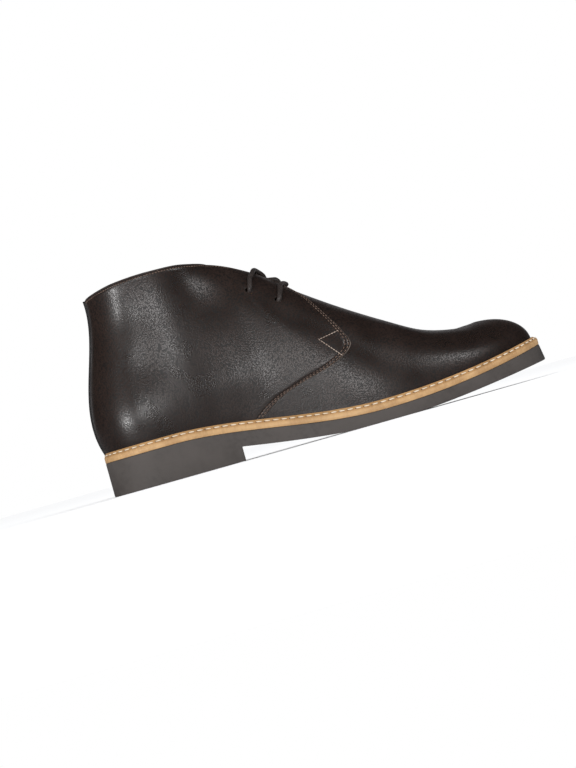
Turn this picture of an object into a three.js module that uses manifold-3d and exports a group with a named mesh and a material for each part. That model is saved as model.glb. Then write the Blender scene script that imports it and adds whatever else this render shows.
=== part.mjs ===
// Right chukka boot, standing empty on a one-piece rubber sole.
// Units are millimetres, +X runs from heel to toe, -Y is the outer side and +Z is up.
import * as THREE from 'three';
import { mergeVertices } from 'three/addons/utils/BufferGeometryUtils.js';
import Module from 'manifold-3d';

const wasm = await Module();
wasm.setup();

// Driving sizes of the last
const lastLength = 294;
const ballWidth = 94;
const collarWidth = 62;
const shaftHeight = 111;
const toeHeight = 30.2;
const toeLean = 4;

// Driving sizes of the upper
const vampWall = 1.8;
const quarterStep = 1.2;
const tongueThickness = 2;
const tongueWidth = 42;
const throatWidth = 21;
const pipingWidth = 1.6;
const pipingThickness = 0.8;
const eyeletBore = 4;
const laceDiameter = 3;

// Driving sizes of the sole
const heelHeight = 23.5;
const foreHeight = 8;
const toeSpring = 10;
const archHeight = 9.5;
const midsoleThickness = 3.5;
const weltReach = 4.3;
const weltInset = 0.6;
const weltEdge = 1.2;
const weltRise = 2.9;
const soleFlare = 1.5;
const insoleThickness = 3;
const toeRubber = 3;
const panelDepth = 0.8;
const gap = 0.3;

// Where the sole changes along its length, as shares of the last's length
const heelEnd = 0.15;
const ballPoint = 0.627;
const rockerStart = 0.69;
const archEnd = 0.55;
const rockerCurve = 1.4;
const archCurve = 1.3;

// Panel in the waist: its ends as shares of the last's length, its half width and its
// place across as shares of the ball width
const panelBack = 0.315;
const panelFront = 0.52;
const panelHalf = 0.2;
const panelAcross = -0.03;

// Throat and tongue: their ends as shares of the last's length, and the width of their
// front ends as shares of their full widths
const throatStart = 0.297;
const throatBack = 0.33;
const throatFront = 0.51;
const throatSlit = 0.11;
const tongueBack = 0.342;
const tongueFront = 0.56;
const tongueTaper = 0.8;

// Shares of the way up a section: where the piping starts, where the skin over the vamp
// starts below the foot, and the highest place where the welt can meet the wall
const pipingStart = 0.05;
const skinStart = -0.03;
const weltLimit = 0.5;

// How finely the curves are sampled
const stepsPerSection = 2;
const stepsUp = 12;
const smallStep = 0.02;
const edgeSteps = 3;
const archSteps = 8;
const roundSteps = 8;
const eyeletSides = 12;
const laceSteps = 20;
const laceRoundSteps = 4;
const halvings = 20;
const weldDistance = 1e-3;

// Sections of the last from the heel's back to the toe. Foot positions are shares of the
// last's length, half widths at the foot are shares of the ball width, and the top's
// half width is a share of the collar width. climb is the top's height between the toe's
// and the shaft's. turn is the section's outward direction, 0 at the back, 180 at the toe.
// Swells and crown are shares of the ball width, lift and drop of the section's height.
const sectionColumns = [
  'foot', 'outer', 'inner', 'turn', 'top', 'topSide', 'climb',
  'outerSwell', 'innerSwell', 'lift', 'crown', 'drop',
];
const sectionRows = [
  [0.000, 0.000, 0.000, 0, 0.043, 0.000, 0.937, 0.152, 0.152, 0.33, -0.033, 0.33],
  [0.011, 0.154, 0.154, 27, 0.051, 0.190, 0.945, 0.140, 0.140, 0.33, -0.038, 0.33],
  [0.041, 0.262, 0.260, 54, 0.075, 0.330, 0.965, 0.110, 0.110, 0.33, -0.055, 0.33],
  [0.087, 0.324, 0.318, 78, 0.112, 0.435, 0.988, 0.085, 0.085, 0.33, -0.075, 0.33],
  [0.150, 0.340, 0.332, 90, 0.160, 0.490, 1.000, 0.065, 0.068, 0.33, -0.085, 0.33],
  [0.218, 0.336, 0.315, 90, 0.213, 0.495, 1.009, 0.055, 0.075, 0.33, -0.050, 0.33],
  [0.286, 0.326, 0.287, 90, 0.262, 0.440, 1.020, 0.050, 0.090, 0.34, 0.000, 0.30],
  [0.354, 0.326, 0.268, 90, 0.298, 0.335, 1.015, 0.045, 0.100, 0.36, 0.070, 0.22],
  [0.422, 0.350, 0.272, 90, 0.323, 0.205, 1.009, 0.035, 0.095, 0.40, 0.135, 0.10],
  [0.497, 0.408, 0.314, 90, 0.342, 0.000, 1.012, 0.025, 0.070, 0.44, 0.262, 0.00],
  [0.572, 0.472, 0.371, 90, 0.420, 0.000, 0.900, 0.015, 0.040, 0.44, 0.262, 0.00],
  [0.646, 0.508, 0.424, 90, 0.505, 0.000, 0.714, 0.012, 0.022, 0.43, 0.265, 0.00],
  [0.718, 0.508, 0.450, 90, 0.600, 0.000, 0.496, 0.012, 0.015, 0.42, 0.275, 0.00],
  [0.786, 0.480, 0.448, 90, 0.682, 0.000, 0.302, 0.014, 0.014, 0.45, 0.290, 0.00],
  [0.854, 0.430, 0.412, 93, 0.757, 0.000, 0.124, 0.016, 0.016, 0.50, 0.305, 0.00],
  [0.914, 0.350, 0.340, 112, 0.821, 0.000, 0.030, 0.018, 0.018, 0.52, 0.280, 0.00],
  [0.961, 0.245, 0.245, 136, 0.858, 0.000, 0.008, 0.018, 0.018, 0.50, 0.250, 0.00],
  [0.990, 0.126, 0.126, 159, 0.878, 0.000, 0.001, 0.018, 0.018, 0.46, 0.250, 0.00],
  [1.000, 0.000, 0.000, 180, 0.885, 0.000, 0.000, 0.018, 0.018, 0.44, 0.255, 0.00],
];
const ridgeStart = 9;

// Front edges of the quarters in side view, from below the welt over the point to the
// throat: along is a share of the last's length, climb a share of the shaft's height.
const quarterColumns = ['along', 'climb'];
const outerQuarterRows = [
  [0.300, -0.150], [0.335, -0.030], [0.362, 0.033], [0.390, 0.098], [0.425, 0.160],
  [0.460, 0.205], [0.495, 0.243], [0.530, 0.277], [0.563, 0.317], [0.583, 0.350],
  [0.594, 0.382], [0.595, 0.416], [0.585, 0.478], [0.568, 0.560], [0.546, 0.650],
  [0.525, 0.725], [0.500, 0.775], [0.480, 0.840],
];
const innerQuarterRows = [
  [0.270, -0.150], [0.310, -0.030], [0.338, 0.033], [0.366, 0.090], [0.400, 0.145],
  [0.432, 0.187], [0.462, 0.222], [0.493, 0.252], [0.523, 0.285], [0.541, 0.312],
  [0.551, 0.340], [0.551, 0.380], [0.543, 0.440], [0.532, 0.530], [0.520, 0.620],
  [0.509, 0.700], [0.496, 0.770], [0.480, 0.840],
];

// Heel breast in plan: along is a share of the last's length, across of the ball width
const breastColumns = ['along', 'across'];
const breastRows = [[0.302, -0.40], [0.280, -0.05], [0.278, 0.26], [0.235, 0.39]];

// Punched eyelets and lace points: section is a place in the table, up a share of the
// way from foot to top, and lift the height over the leather in lace diameters.
const eyeletColumns = ['section', 'up'];
const eyeletRows = [[9.25, 0.625], [9.85, 0.585]];
const laceColumns = ['side', 'section', 'up', 'lift'];
const barRows = [
  [-1, 9.92, 0.620, 0.0], [-1, 10.05, 0.670, 0.0], [-1, 10.22, 0.740, 0.0],
  [-1, 10.42, 0.820, 0.0], [-1, 10.60, 0.900, 0.0], [-1, 10.70, 0.970, 0.1],
  [1, 10.70, 0.970, 0.1], [1, 10.60, 0.900, 0.0], [1, 10.42, 0.820, 0.0],
  [1, 10.22, 0.740, 0.0], [1, 10.05, 0.670, 0.0], [1, 9.92, 0.620, 0.0],
];
const strandRows = [
  [-1, 9.32, 0.660, 0.0], [-1, 9.48, 0.720, 0.0], [-1, 9.66, 0.790, 0.0],
  [-1, 9.85, 0.870, 0.0], [-1, 10.02, 0.940, 0.1], [-1, 10.20, 0.990, 0.2],
  [1, 10.38, 0.980, 0.2], [1, 10.50, 0.950, 0.1],
];

// Reading of the tables

function table(columns, rows) {
  return rows.map((row) => Object.fromEntries(columns.map((name, k) => [name, row[k]])));
}

const sections = table(sectionColumns, sectionRows);
const lastSection = sections.length - 1;
const mirrored = new Set(['outer', 'inner', 'turn', 'topSide']);

function cubic(a, b, c, d, t) {
  const curve = 2 * a - 5 * b + 4 * c - d;
  return 0.5 * (2 * b + t * (c - a + t * (curve + t * (3 * b - a - 3 * c + d))));
}

// A column of the section table at any place; past both ends it is carried on as the
// other side of the shoe would be.
function sectionValue(name, place) {
  const first = Math.min(Math.floor(place), lastSection - 1);
  const read = (k) => {
    const inside = k < 0 ? -k : k > lastSection ? 2 * lastSection - k : k;
    const value = sections[inside][name];
    const end = sections[k < 0 ? 0 : lastSection][name];
    return inside !== k && mirrored.has(name) ? 2 * end - value : value;
  };
  return cubic(read(first - 1), read(first), read(first + 1), read(first + 2), place - first);
}

function smooth(t) {
  const s = Math.min(Math.max(t, 0), 1);
  return s * s * (3 - 2 * s);
}

// Heights along the shoe

const ballX = ballPoint * lastLength;
const heelEndX = heelEnd * lastLength;
const rubberToe = foreHeight + toeSpring + toeRubber;

function seatHeight(x) {
  if (x < ballX) {
    return heelHeight + (foreHeight - heelHeight) * smooth((x - heelEndX) / (ballX - heelEndX));
  }
  const t = (x - ballX) / (lastLength - ballX);
  return foreHeight + (rubberToe - foreHeight) * t * t;
}

function deckHeight(x) {
  return seatHeight(x) + midsoleThickness;
}

function treadHeight(x) {
  const start = rockerStart * lastLength;
  const t = Math.max(0, x - start) / (lastLength - start);
  return toeSpring * t ** rockerCurve;
}

function axisY(x) {
  const t = x / lastLength;
  return toeLean * t * t;
}

// One rib of the upper, from the welt to the collar or the ridge; side is -1 or 1

function ribPoint(side, place, up) {
  const v = (name) => sectionValue(name, place);
  const footX = v('foot') * lastLength;
  const footHalf = v(side < 0 ? 'outer' : 'inner') * ballWidth;
  const topX = v('top') * lastLength;
  const topHalf = place < ridgeStart ? v('topSide') * collarWidth : 0;
  const turn = THREE.MathUtils.degToRad(v('turn'));
  const swell = v(side < 0 ? 'outerSwell' : 'innerSwell') * ballWidth;
  const crown = v('crown') * ballWidth;
  const footZ = deckHeight(footX) + gap;
  const topZ = deckHeight(topX) + toeHeight + v('climb') * (shaftHeight - toeHeight);
  const rise = topZ - footZ;
  const foot = new THREE.Vector3(footX, axisY(footX) + side * footHalf, footZ);
  const top = new THREE.Vector3(topX, axisY(topX) + side * topHalf, topZ);
  const out = new THREE.Vector3(-Math.cos(turn), side * Math.sin(turn), 0);
  const low = foot.clone().addScaledVector(out, swell);
  low.z += v('lift') * rise;
  const high = top.clone().addScaledVector(out, crown);
  high.z -= v('drop') * rise;
  const w = 1 - up;
  return foot.multiplyScalar(w * w * w)
    .addScaledVector(low, 3 * w * w * up)
    .addScaledVector(high, 3 * w * up * up)
    .addScaledVector(top, up * up * up);
}

// Columns run along the outer side to the toe and back along the inner side.

const columnsPerSide = lastSection * stepsPerSection;
const columnCount = 2 * columnsPerSide;

function columnPlace(column) {
  const j = (column + columnCount) % columnCount;
  const side = j <= columnsPerSide ? -1 : 1;
  const place = (side < 0 ? j : columnCount - j) / stepsPerSection;
  return { side, place };
}

function mirrorColumn(column) {
  return (columnCount - column) % columnCount;
}

function isRidge(column) {
  return columnPlace(column).place >= ridgeStart;
}

function gridPoint(column, up) {
  const { side, place } = columnPlace(column);
  return ribPoint(side, place, up);
}

// Outward normal of the last; at the foot it lies level so that layers stay on the deck.
function gridNormal(column, up) {
  const step = smallStep;
  const beside = Math.min(up, 1 - step);
  const along = gridPoint(column + 1, beside).sub(gridPoint(column - 1, beside));
  const opposite = mirrorColumn(column);
  const crosses = up + step > 1 && isRidge(column) && opposite !== column;
  const above = crosses
    ? gridPoint(opposite, 1 - step)
    : gridPoint(column, Math.min(up + step, 1));
  const below = gridPoint(column, Math.max(up - step, 0));
  const rib = above.sub(below);
  if (up <= 0) {
    rib.set(0, 0, 1);
  }
  return along.cross(rib).normalize();
}

function offsetPoint(column, up, offset) {
  const point = gridPoint(column, up).addScaledVector(gridNormal(column, up), offset);
  if (up === 0) {
    point.z = deckHeight(point.x) + gap;
  }
  return point;
}

// Mesh helpers

function solidFrom(points, triangles) {
  const geometry = new THREE.BufferGeometry();
  const positions = points.flatMap((p) => [p.x, p.y, p.z]);
  geometry.setAttribute('position', new THREE.Float32BufferAttribute(positions, 3));
  geometry.setIndex(triangles);
  return toManifold(geometry);
}

function toManifold(source) {
  const bare = new THREE.BufferGeometry();
  bare.setAttribute('position', source.getAttribute('position').clone());
  if (source.index) {
    bare.setIndex(source.index.clone());
  }
  const merged = mergeVertices(bare, weldDistance);
  const corners = Array.from(merged.index.array);
  const position = merged.getAttribute('position');
  const at = (k) => new THREE.Vector3().fromBufferAttribute(position, k);
  const kept = [];
  let volume = 0;
  for (let k = 0; k < corners.length; k += 3) {
    const [a, b, c] = corners.slice(k, k + 3);
    if (a !== b && b !== c && c !== a) {
      kept.push(a, b, c);
      volume += at(a).dot(at(b).cross(at(c)));
    }
  }
  if (volume < 0) {
    kept.reverse();
  }
  const mesh = new wasm.Mesh({
    numProp: 3,
    vertProperties: new Float32Array(position.array),
    triVerts: new Uint32Array(kept),
  });
  return new wasm.Manifold(mesh);
}

function toGeometry(solid) {
  const mesh = solid.getMesh();
  const geometry = new THREE.BufferGeometry();
  const positions = new THREE.Float32BufferAttribute(mesh.vertProperties, 3);
  geometry.setAttribute('position', positions);
  geometry.setIndex(Array.from(mesh.triVerts));
  geometry.computeVertexNormals();
  return geometry;
}

function quad(triangles, a, b, c, d) {
  triangles.push(a, b, c, a, c, d);
}

// A closed layer of the upper between two offsets of the last

function layer(inside, outside, startUp = 0) {
  const points = [];
  const triangles = [];
  const rows = stepsUp + 1;
  for (const offset of [outside, inside]) {
    for (let j = 0; j < columnCount; j += 1) {
      for (let i = 0; i < rows; i += 1) {
        points.push(offsetPoint(j, i > 0 ? i / stepsUp : startUp, offset));
      }
    }
  }
  const block = columnCount * rows;
  for (let j = 0; j < columnCount; j += 1) {
    const a = j * rows;
    const b = ((j + 1) % columnCount) * rows;
    for (let i = 0; i < stepsUp; i += 1) {
      quad(triangles, a + i, b + i, b + i + 1, a + i + 1);
      quad(triangles, block + a + i, block + a + i + 1, block + b + i + 1, block + b + i);
    }
    quad(triangles, b, a, block + a, block + b);
    if (!isRidge(j) || !isRidge(j + 1)) {
      quad(triangles, a + stepsUp, b + stepsUp, block + b + stepsUp, block + a + stepsUp);
    }
  }
  joinRidge(points, rows, block);
  return solidFrom(points, triangles);
}

// Both sides share one point on the ridge, halfway between what each side gives.
function joinRidge(points, rows, block) {
  for (let j = 0; j <= columnsPerSide; j += 1) {
    if (isRidge(j)) {
      for (const start of [0, block]) {
        const a = points[start + j * rows + rows - 1];
        const b = points[start + mirrorColumn(j) * rows + rows - 1];
        a.add(b).multiplyScalar(0.5);
        b.copy(a);
      }
    }
  }
}

// A straight prism through the whole shoe

function prism(outline, depth) {
  return new THREE.ExtrudeGeometry(new THREE.Shape(outline), {
    depth,
    bevelEnabled: false,
  });
}

const roomy = 2 * lastLength;
const overlap = 1;
const shaftFloor = heelHeight + midsoleThickness + shaftHeight / 3;

// Everything in front of a quarter's edge, on one side of the shoe
function vampSide(rows, side) {
  const edge = table(quarterColumns, rows).map((point) => {
    const x = point.along * lastLength;
    return new THREE.Vector2(x, deckHeight(x) + point.climb * shaftHeight);
  });
  const curve = new THREE.SplineCurve(edge).getPoints(edgeSteps * edge.length);
  const top = curve[curve.length - 1];
  const outline = [
    ...curve,
    new THREE.Vector2(top.x, roomy),
    new THREE.Vector2(roomy, roomy),
    new THREE.Vector2(roomy, -roomy),
    new THREE.Vector2(curve[0].x, -roomy),
  ];
  const block = prism(outline, roomy);
  block.rotateX(Math.PI / 2);
  block.translate(0, side < 0 ? overlap : roomy - overlap, 0);
  return toManifold(block);
}

// The V between the facings, cut straight down
function throatCut() {
  const start = throatStart * lastLength;
  const back = throatBack * lastLength;
  const front = throatFront * lastLength;
  const half = throatWidth / 2;
  const slit = throatSlit * half;
  const outline = [
    new THREE.Vector2(start, axisY(back) - half),
    new THREE.Vector2(back, axisY(back) - half),
    new THREE.Vector2(front, axisY(front) - slit),
    new THREE.Vector2(front + slit, axisY(front)),
    new THREE.Vector2(front, axisY(front) + slit),
    new THREE.Vector2(back, axisY(back) + half),
    new THREE.Vector2(start, axisY(back) + half),
  ];
  const block = prism(outline, roomy);
  block.translate(0, 0, shaftFloor);
  return toManifold(block);
}

// A point over the leather, for eyelets and laces
function leatherFrame(side, place, up, offset) {
  const step = smallStep;
  const point = ribPoint(side, place, up);
  const along = ribPoint(side, place + step, up).sub(ribPoint(side, place - step, up));
  const rib = ribPoint(side, place, up).sub(ribPoint(side, place, up - step));
  const normal = along.cross(rib).normalize().multiplyScalar(-side);
  return { point: point.addScaledVector(normal, offset), normal };
}

function eyeletCut(side, row) {
  const { point, normal } = leatherFrame(side, row.section, row.up, 0);
  const radius = eyeletBore / 2;
  const reach = 4 * (vampWall + quarterStep);
  const punch = new THREE.CylinderGeometry(radius, radius, reach, eyeletSides);
  const turn = new THREE.Quaternion().setFromUnitVectors(new THREE.Vector3(0, 1, 0), normal);
  punch.applyQuaternion(turn);
  punch.translate(point.x, point.y, point.z);
  return toManifold(punch);
}

function makeUpper() {
  let solid = layer(-vampWall, quarterStep);
  const skin = layer(0, 2 * quarterStep + gap, skinStart);
  const vamp = vampSide(outerQuarterRows, -1).add(vampSide(innerQuarterRows, 1));
  solid = solid.subtract(skin.intersect(vamp)).subtract(throatCut());
  for (const row of table(eyeletColumns, eyeletRows)) {
    solid = solid.subtract(eyeletCut(-1, row)).subtract(eyeletCut(1, row));
  }
  return toGeometry(solid);
}

function makeTongue() {
  const outside = -vampWall - gap;
  const half = tongueWidth / 2;
  const end = tongueTaper * half;
  const back = tongueBack * lastLength;
  const front = tongueFront * lastLength;
  const outline = new THREE.Shape();
  outline.moveTo(back, -half);
  outline.lineTo(front - half / 2, -end);
  outline.absarc(front - half / 2, 0, end, -Math.PI / 2, Math.PI / 2, false);
  outline.lineTo(back, half);
  const block = new THREE.ExtrudeGeometry(outline, {
    depth: roomy, bevelEnabled: false, curveSegments: roundSteps,
  });
  block.translate(0, axisY(back), shaftFloor);
  const solid = layer(outside - tongueThickness, outside).intersect(toManifold(block));
  return toGeometry(solid);
}

// The sole's pieces follow the foot's outline, moved outwards

function outlinePoint(column, reach) {
  const foot = gridPoint(column, 0);
  foot.addScaledVector(gridNormal(column, 0), reach);
  return foot;
}

// A plate with the shoe's outline; heights are functions of the place along the shoe, and
// the lower edge flares outwards more and more towards the toe.
function plate(reach, flare, topHeight, bottomHeight) {
  const points = [];
  const triangles = [];
  for (const [flared, height] of [[0, topHeight], [flare, bottomHeight]]) {
    for (let j = 0; j < columnCount; j += 1) {
      const share = gridPoint(j, 0).x / lastLength;
      const point = outlinePoint(j, reach + flared * share * share);
      point.z = height(point.x);
      points.push(point);
    }
  }
  for (let j = 0; j < columnCount; j += 1) {
    const k = (j + 1) % columnCount;
    quad(triangles, columnCount + j, columnCount + k, k, j);
  }
  for (let j = 0; j < columnsPerSide; j += 1) {
    const a = mirrorColumn(j);
    const b = mirrorColumn(j + 1);
    quad(triangles, j, j + 1, b, a);
    quad(triangles, columnCount + j, columnCount + a, columnCount + b, columnCount + j + 1);
  }
  return solidFrom(points, triangles);
}

// The space under the arch, in front of the slanted heel breast
function archCut() {
  const breast = table(breastColumns, breastRows)
    .map((row) => new THREE.Vector2(row.along * lastLength, row.across * ballWidth));
  const wide = ballWidth;
  const outline = [
    new THREE.Vector2(breast[0].x, -wide),
    ...breast,
    new THREE.Vector2(breast[breast.length - 1].x, wide),
    new THREE.Vector2(roomy, wide),
    new THREE.Vector2(roomy, -wide),
  ];
  const ahead = prism(outline, roomy);
  ahead.translate(0, 0, -roomy / 2);
  const start = breast[0].x;
  const end = archEnd * lastLength;
  const profile = [new THREE.Vector2(0, -roomy), new THREE.Vector2(0, archHeight)];
  for (let k = 0; k <= archSteps; k += 1) {
    const t = k / archSteps;
    const x = start + t * (end - start);
    profile.push(new THREE.Vector2(x, archHeight * (1 - t) ** archCurve));
  }
  profile.push(new THREE.Vector2(end, -roomy));
  const under = prism(profile, 2 * wide);
  under.rotateX(Math.PI / 2);
  under.translate(0, wide, 0);
  return toManifold(ahead).intersect(toManifold(under));
}

// Shallow panel in the waist, round at its front end
function panelOutline() {
  const back = panelBack * lastLength;
  const front = panelFront * lastLength;
  const half = panelHalf * ballWidth;
  const outline = new THREE.Shape();
  outline.moveTo(back, -half);
  outline.lineTo(front - half, -half);
  outline.absarc(front - half, 0, half, -Math.PI / 2, Math.PI / 2, false);
  outline.lineTo(back, half);
  return outline;
}

function makeOutsole() {
  const seat = (x) => seatHeight(x) - gap;
  const body = plate(weltReach, soleFlare, seat, treadHeight);
  const column = new THREE.ExtrudeGeometry(panelOutline(), {
    depth: roomy, bevelEnabled: false, curveSegments: roundSteps,
  });
  column.translate(0, panelAcross * ballWidth, -roomy / 2);
  const arch = archCut();
  const raised = arch.translate([0, 0, panelDepth]);
  const panel = raised.intersect(toManifold(column));
  return toGeometry(body.subtract(arch).subtract(panel));
}

function makeMidsole() {
  return toGeometry(plate(weltReach, 0, deckHeight, seatHeight));
}

function makeInsole() {
  const reach = -vampWall - 2 * gap;
  const floor = (x) => deckHeight(x) + gap;
  const face = (x) => floor(x) + insoleThickness;
  return toGeometry(plate(reach, 0, face, floor));
}

// The welt lies around the upper, with its top sloping out to a low edge.
function makeWelt() {
  const points = [];
  const triangles = [];
  const corners = 4;
  const outer = weltReach - weltInset;
  const floor = (x) => deckHeight(x) + gap;
  for (let j = 0; j < columnCount; j += 1) {
    const low = outlinePoint(j, quarterStep + gap);
    const high = weltTop(j);
    const edge = outlinePoint(j, outer);
    const lip = edge.clone();
    low.z = floor(low.x);
    edge.z = floor(edge.x);
    lip.z = edge.z + weltEdge;
    points.push(low, edge, lip, high);
  }
  for (let j = 0; j < columnCount; j += 1) {
    const a = j * corners;
    const b = ((j + 1) % columnCount) * corners;
    for (let k = 0; k < corners; k += 1) {
      const next = (k + 1) % corners;
      quad(triangles, a + k, b + k, b + next, a + next);
    }
  }
  return toGeometry(solidFrom(points, triangles));
}

// Where the welt's top meets the upper: as far out as the wall has swelled by then
function weltTop(column) {
  const target = gridPoint(column, 0).z + weltRise;
  let low = 0;
  let high = weltLimit;
  for (let k = 0; k < halvings; k += 1) {
    const middle = (low + high) / 2;
    if (gridPoint(column, middle).z < target) {
      low = middle;
    } else {
      high = middle;
    }
  }
  const level = gridNormal(column, 0);
  const swollen = gridPoint(column, low).sub(gridPoint(column, 0)).dot(level);
  const point = outlinePoint(column, quarterStep + 2 * gap + Math.max(swollen, 0));
  point.z = deckHeight(point.x) + weltRise;
  return point;
}

// Strip on the back seam, just off the leather
function makePiping() {
  const points = [];
  const triangles = [];
  const corners = 4;
  const near = quarterStep + gap;
  for (let i = 0; i <= stepsUp; i += 1) {
    const up = pipingStart + (1 - pipingStart) * (i / stepsUp);
    const base = offsetPoint(0, up, near);
    const face = offsetPoint(0, up, near + pipingThickness);
    for (const [point, side] of [[base, -1], [face, -1], [face, 1], [base, 1]]) {
      points.push(point.clone().setY(side * pipingWidth / 2));
    }
  }
  for (let i = 0; i < stepsUp; i += 1) {
    const a = i * corners;
    const b = a + corners;
    for (let k = 0; k < corners; k += 1) {
      const next = (k + 1) % corners;
      quad(triangles, a + k, b + k, b + next, a + next);
    }
  }
  const end = stepsUp * corners;
  quad(triangles, 0, 1, 2, 3);
  quad(triangles, end + 3, end + 2, end + 1, end);
  return toGeometry(solidFrom(points, triangles));
}

// Laces

function lacePoint(row) {
  const over = quarterStep + gap + laceDiameter / 2 + row.lift * laceDiameter;
  return leatherFrame(row.side, row.section, row.up, over).point;
}

function laceTube(rows, flip) {
  const points = table(laceColumns, rows).map((row) => lacePoint({ ...row, side: flip * row.side }));
  const path = new THREE.CatmullRomCurve3(points, false, 'centripetal');
  const outline = new THREE.Shape();
  outline.absarc(0, 0, laceDiameter / 2, 0, 2 * Math.PI, false);
  return toManifold(new THREE.ExtrudeGeometry(outline, {
    steps: laceSteps, curveSegments: laceRoundSteps, bevelEnabled: false, extrudePath: path,
  }));
}

function makeLaceBar() {
  return toGeometry(laceTube(barRows, 1));
}

function makeLaceCrossing() {
  return toGeometry(laceTube(strandRows, 1).add(laceTube(strandRows, -1)));
}

// Materials and assembly

const leather = { color: 0x33292a, roughness: 0.42, metalness: 0 };
const tongueLeather = { color: 0x2b2223, roughness: 0.3, metalness: 0 };
const piping = { color: 0x141112, roughness: 0.5, metalness: 0 };
const rubber = { color: 0x4b4645, roughness: 0.7, metalness: 0 };
const tan = { color: 0xd8ad76, roughness: 0.6, metalness: 0 };
const footbed = { color: 0x6a4a33, roughness: 0.7, metalness: 0 };
const cord = { color: 0x3a3130, roughness: 0.55, metalness: 0 };

function piece(name, geometry, finish) {
  const mesh = new THREE.Mesh(geometry, new THREE.MeshStandardMaterial(finish));
  mesh.name = name;
  return mesh;
}

const boot = new THREE.Group();
boot.add(piece('outsole', makeOutsole(), rubber));
boot.add(piece('midsole', makeMidsole(), tan));
boot.add(piece('welt', makeWelt(), tan));
boot.add(piece('insole', makeInsole(), footbed));
boot.add(piece('upper', makeUpper(), leather));
boot.add(piece('tongue', makeTongue(), tongueLeather));
boot.add(piece('back_piping', makePiping(), piping));
boot.add(piece('lace_bar', makeLaceBar(), cord));
boot.add(piece('lace_crossing', makeLaceCrossing(), cord));

// The origin is on the floor, under the middle of the shoe.
const bounds = new THREE.Box3().setFromObject(boot);
const middle = bounds.getCenter(new THREE.Vector3());
boot.position.set(-middle.x, -middle.y, -bounds.min.z);
boot.updateMatrixWorld(true);

export default boot;
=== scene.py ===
"""Dresses a right chukka boot: dark leather on a tan welt and a moulded rubber sole.

All sizes are in metres. +X runs from heel to toe, -Y is the outer side and +Z is up.
"""

import logging
import math
from dataclasses import dataclass, field
from enum import Enum

import bpy
import numpy as np
from mathutils import Matrix, Vector


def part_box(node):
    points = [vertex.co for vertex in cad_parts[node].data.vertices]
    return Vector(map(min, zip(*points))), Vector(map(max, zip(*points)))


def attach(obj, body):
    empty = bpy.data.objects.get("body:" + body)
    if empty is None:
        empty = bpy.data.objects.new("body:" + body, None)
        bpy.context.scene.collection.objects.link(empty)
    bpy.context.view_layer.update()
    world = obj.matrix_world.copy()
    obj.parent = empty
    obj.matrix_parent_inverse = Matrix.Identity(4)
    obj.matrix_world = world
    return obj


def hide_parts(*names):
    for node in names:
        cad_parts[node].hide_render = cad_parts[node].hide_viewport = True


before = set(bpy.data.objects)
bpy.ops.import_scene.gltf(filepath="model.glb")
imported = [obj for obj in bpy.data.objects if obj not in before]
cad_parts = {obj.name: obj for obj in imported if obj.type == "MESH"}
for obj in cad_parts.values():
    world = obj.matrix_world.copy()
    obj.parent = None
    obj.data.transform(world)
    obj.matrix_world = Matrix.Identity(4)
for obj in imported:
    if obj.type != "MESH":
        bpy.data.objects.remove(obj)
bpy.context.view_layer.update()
LOG = logging.getLogger("boot")
MM = 0.001
# A hair's breadth between pieces that touch
HAIR = 0.02 * MM

SECTION_COLUMNS = (
    "foot", "outer", "inner", "turn", "top", "top_side", "climb",
    "outer_swell", "inner_swell", "lift", "crown", "drop",
)
# A row for each section of the last, heel to toe. Shares of the last's sizes, turn in degrees.
SECTION_ROWS = (
    (0.000, 0.000, 0.000, 0, 0.043, 0.000, 0.937, 0.152, 0.152, 0.33, -0.033, 0.33),
    (0.011, 0.154, 0.154, 27, 0.051, 0.190, 0.945, 0.140, 0.140, 0.33, -0.038, 0.33),
    (0.041, 0.262, 0.260, 54, 0.075, 0.330, 0.965, 0.110, 0.110, 0.33, -0.055, 0.33),
    (0.087, 0.324, 0.318, 78, 0.112, 0.435, 0.988, 0.085, 0.085, 0.33, -0.075, 0.33),
    (0.150, 0.340, 0.332, 90, 0.160, 0.490, 1.000, 0.065, 0.068, 0.33, -0.085, 0.33),
    (0.218, 0.336, 0.315, 90, 0.213, 0.495, 1.009, 0.055, 0.075, 0.33, -0.050, 0.33),
    (0.286, 0.326, 0.287, 90, 0.262, 0.440, 1.020, 0.050, 0.090, 0.34, 0.000, 0.30),
    (0.354, 0.326, 0.268, 90, 0.298, 0.335, 1.015, 0.045, 0.100, 0.36, 0.070, 0.22),
    (0.422, 0.350, 0.272, 90, 0.323, 0.205, 1.009, 0.035, 0.095, 0.40, 0.135, 0.10),
    (0.497, 0.408, 0.314, 90, 0.342, 0.000, 1.012, 0.025, 0.070, 0.44, 0.262, 0.00),
    (0.572, 0.472, 0.371, 90, 0.420, 0.000, 0.900, 0.015, 0.040, 0.44, 0.262, 0.00),
    (0.646, 0.508, 0.424, 90, 0.505, 0.000, 0.714, 0.012, 0.022, 0.43, 0.265, 0.00),
    (0.718, 0.508, 0.450, 90, 0.600, 0.000, 0.496, 0.012, 0.015, 0.42, 0.275, 0.00),
    (0.786, 0.480, 0.448, 90, 0.682, 0.000, 0.302, 0.014, 0.014, 0.45, 0.290, 0.00),
    (0.854, 0.430, 0.412, 93, 0.757, 0.000, 0.124, 0.016, 0.016, 0.50, 0.305, 0.00),
    (0.914, 0.350, 0.340, 112, 0.821, 0.000, 0.030, 0.018, 0.018, 0.52, 0.280, 0.00),
    (0.961, 0.245, 0.245, 136, 0.858, 0.000, 0.008, 0.018, 0.018, 0.50, 0.250, 0.00),
    (0.990, 0.126, 0.126, 159, 0.878, 0.000, 0.001, 0.018, 0.018, 0.46, 0.250, 0.00),
    (1.000, 0.000, 0.000, 180, 0.885, 0.000, 0.000, 0.018, 0.018, 0.44, 0.255, 0.00),
)
MIRRORED = {"outer", "inner", "turn", "top_side"}
RIDGE = 9
TOE = len(SECTION_ROWS) - 1

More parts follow.
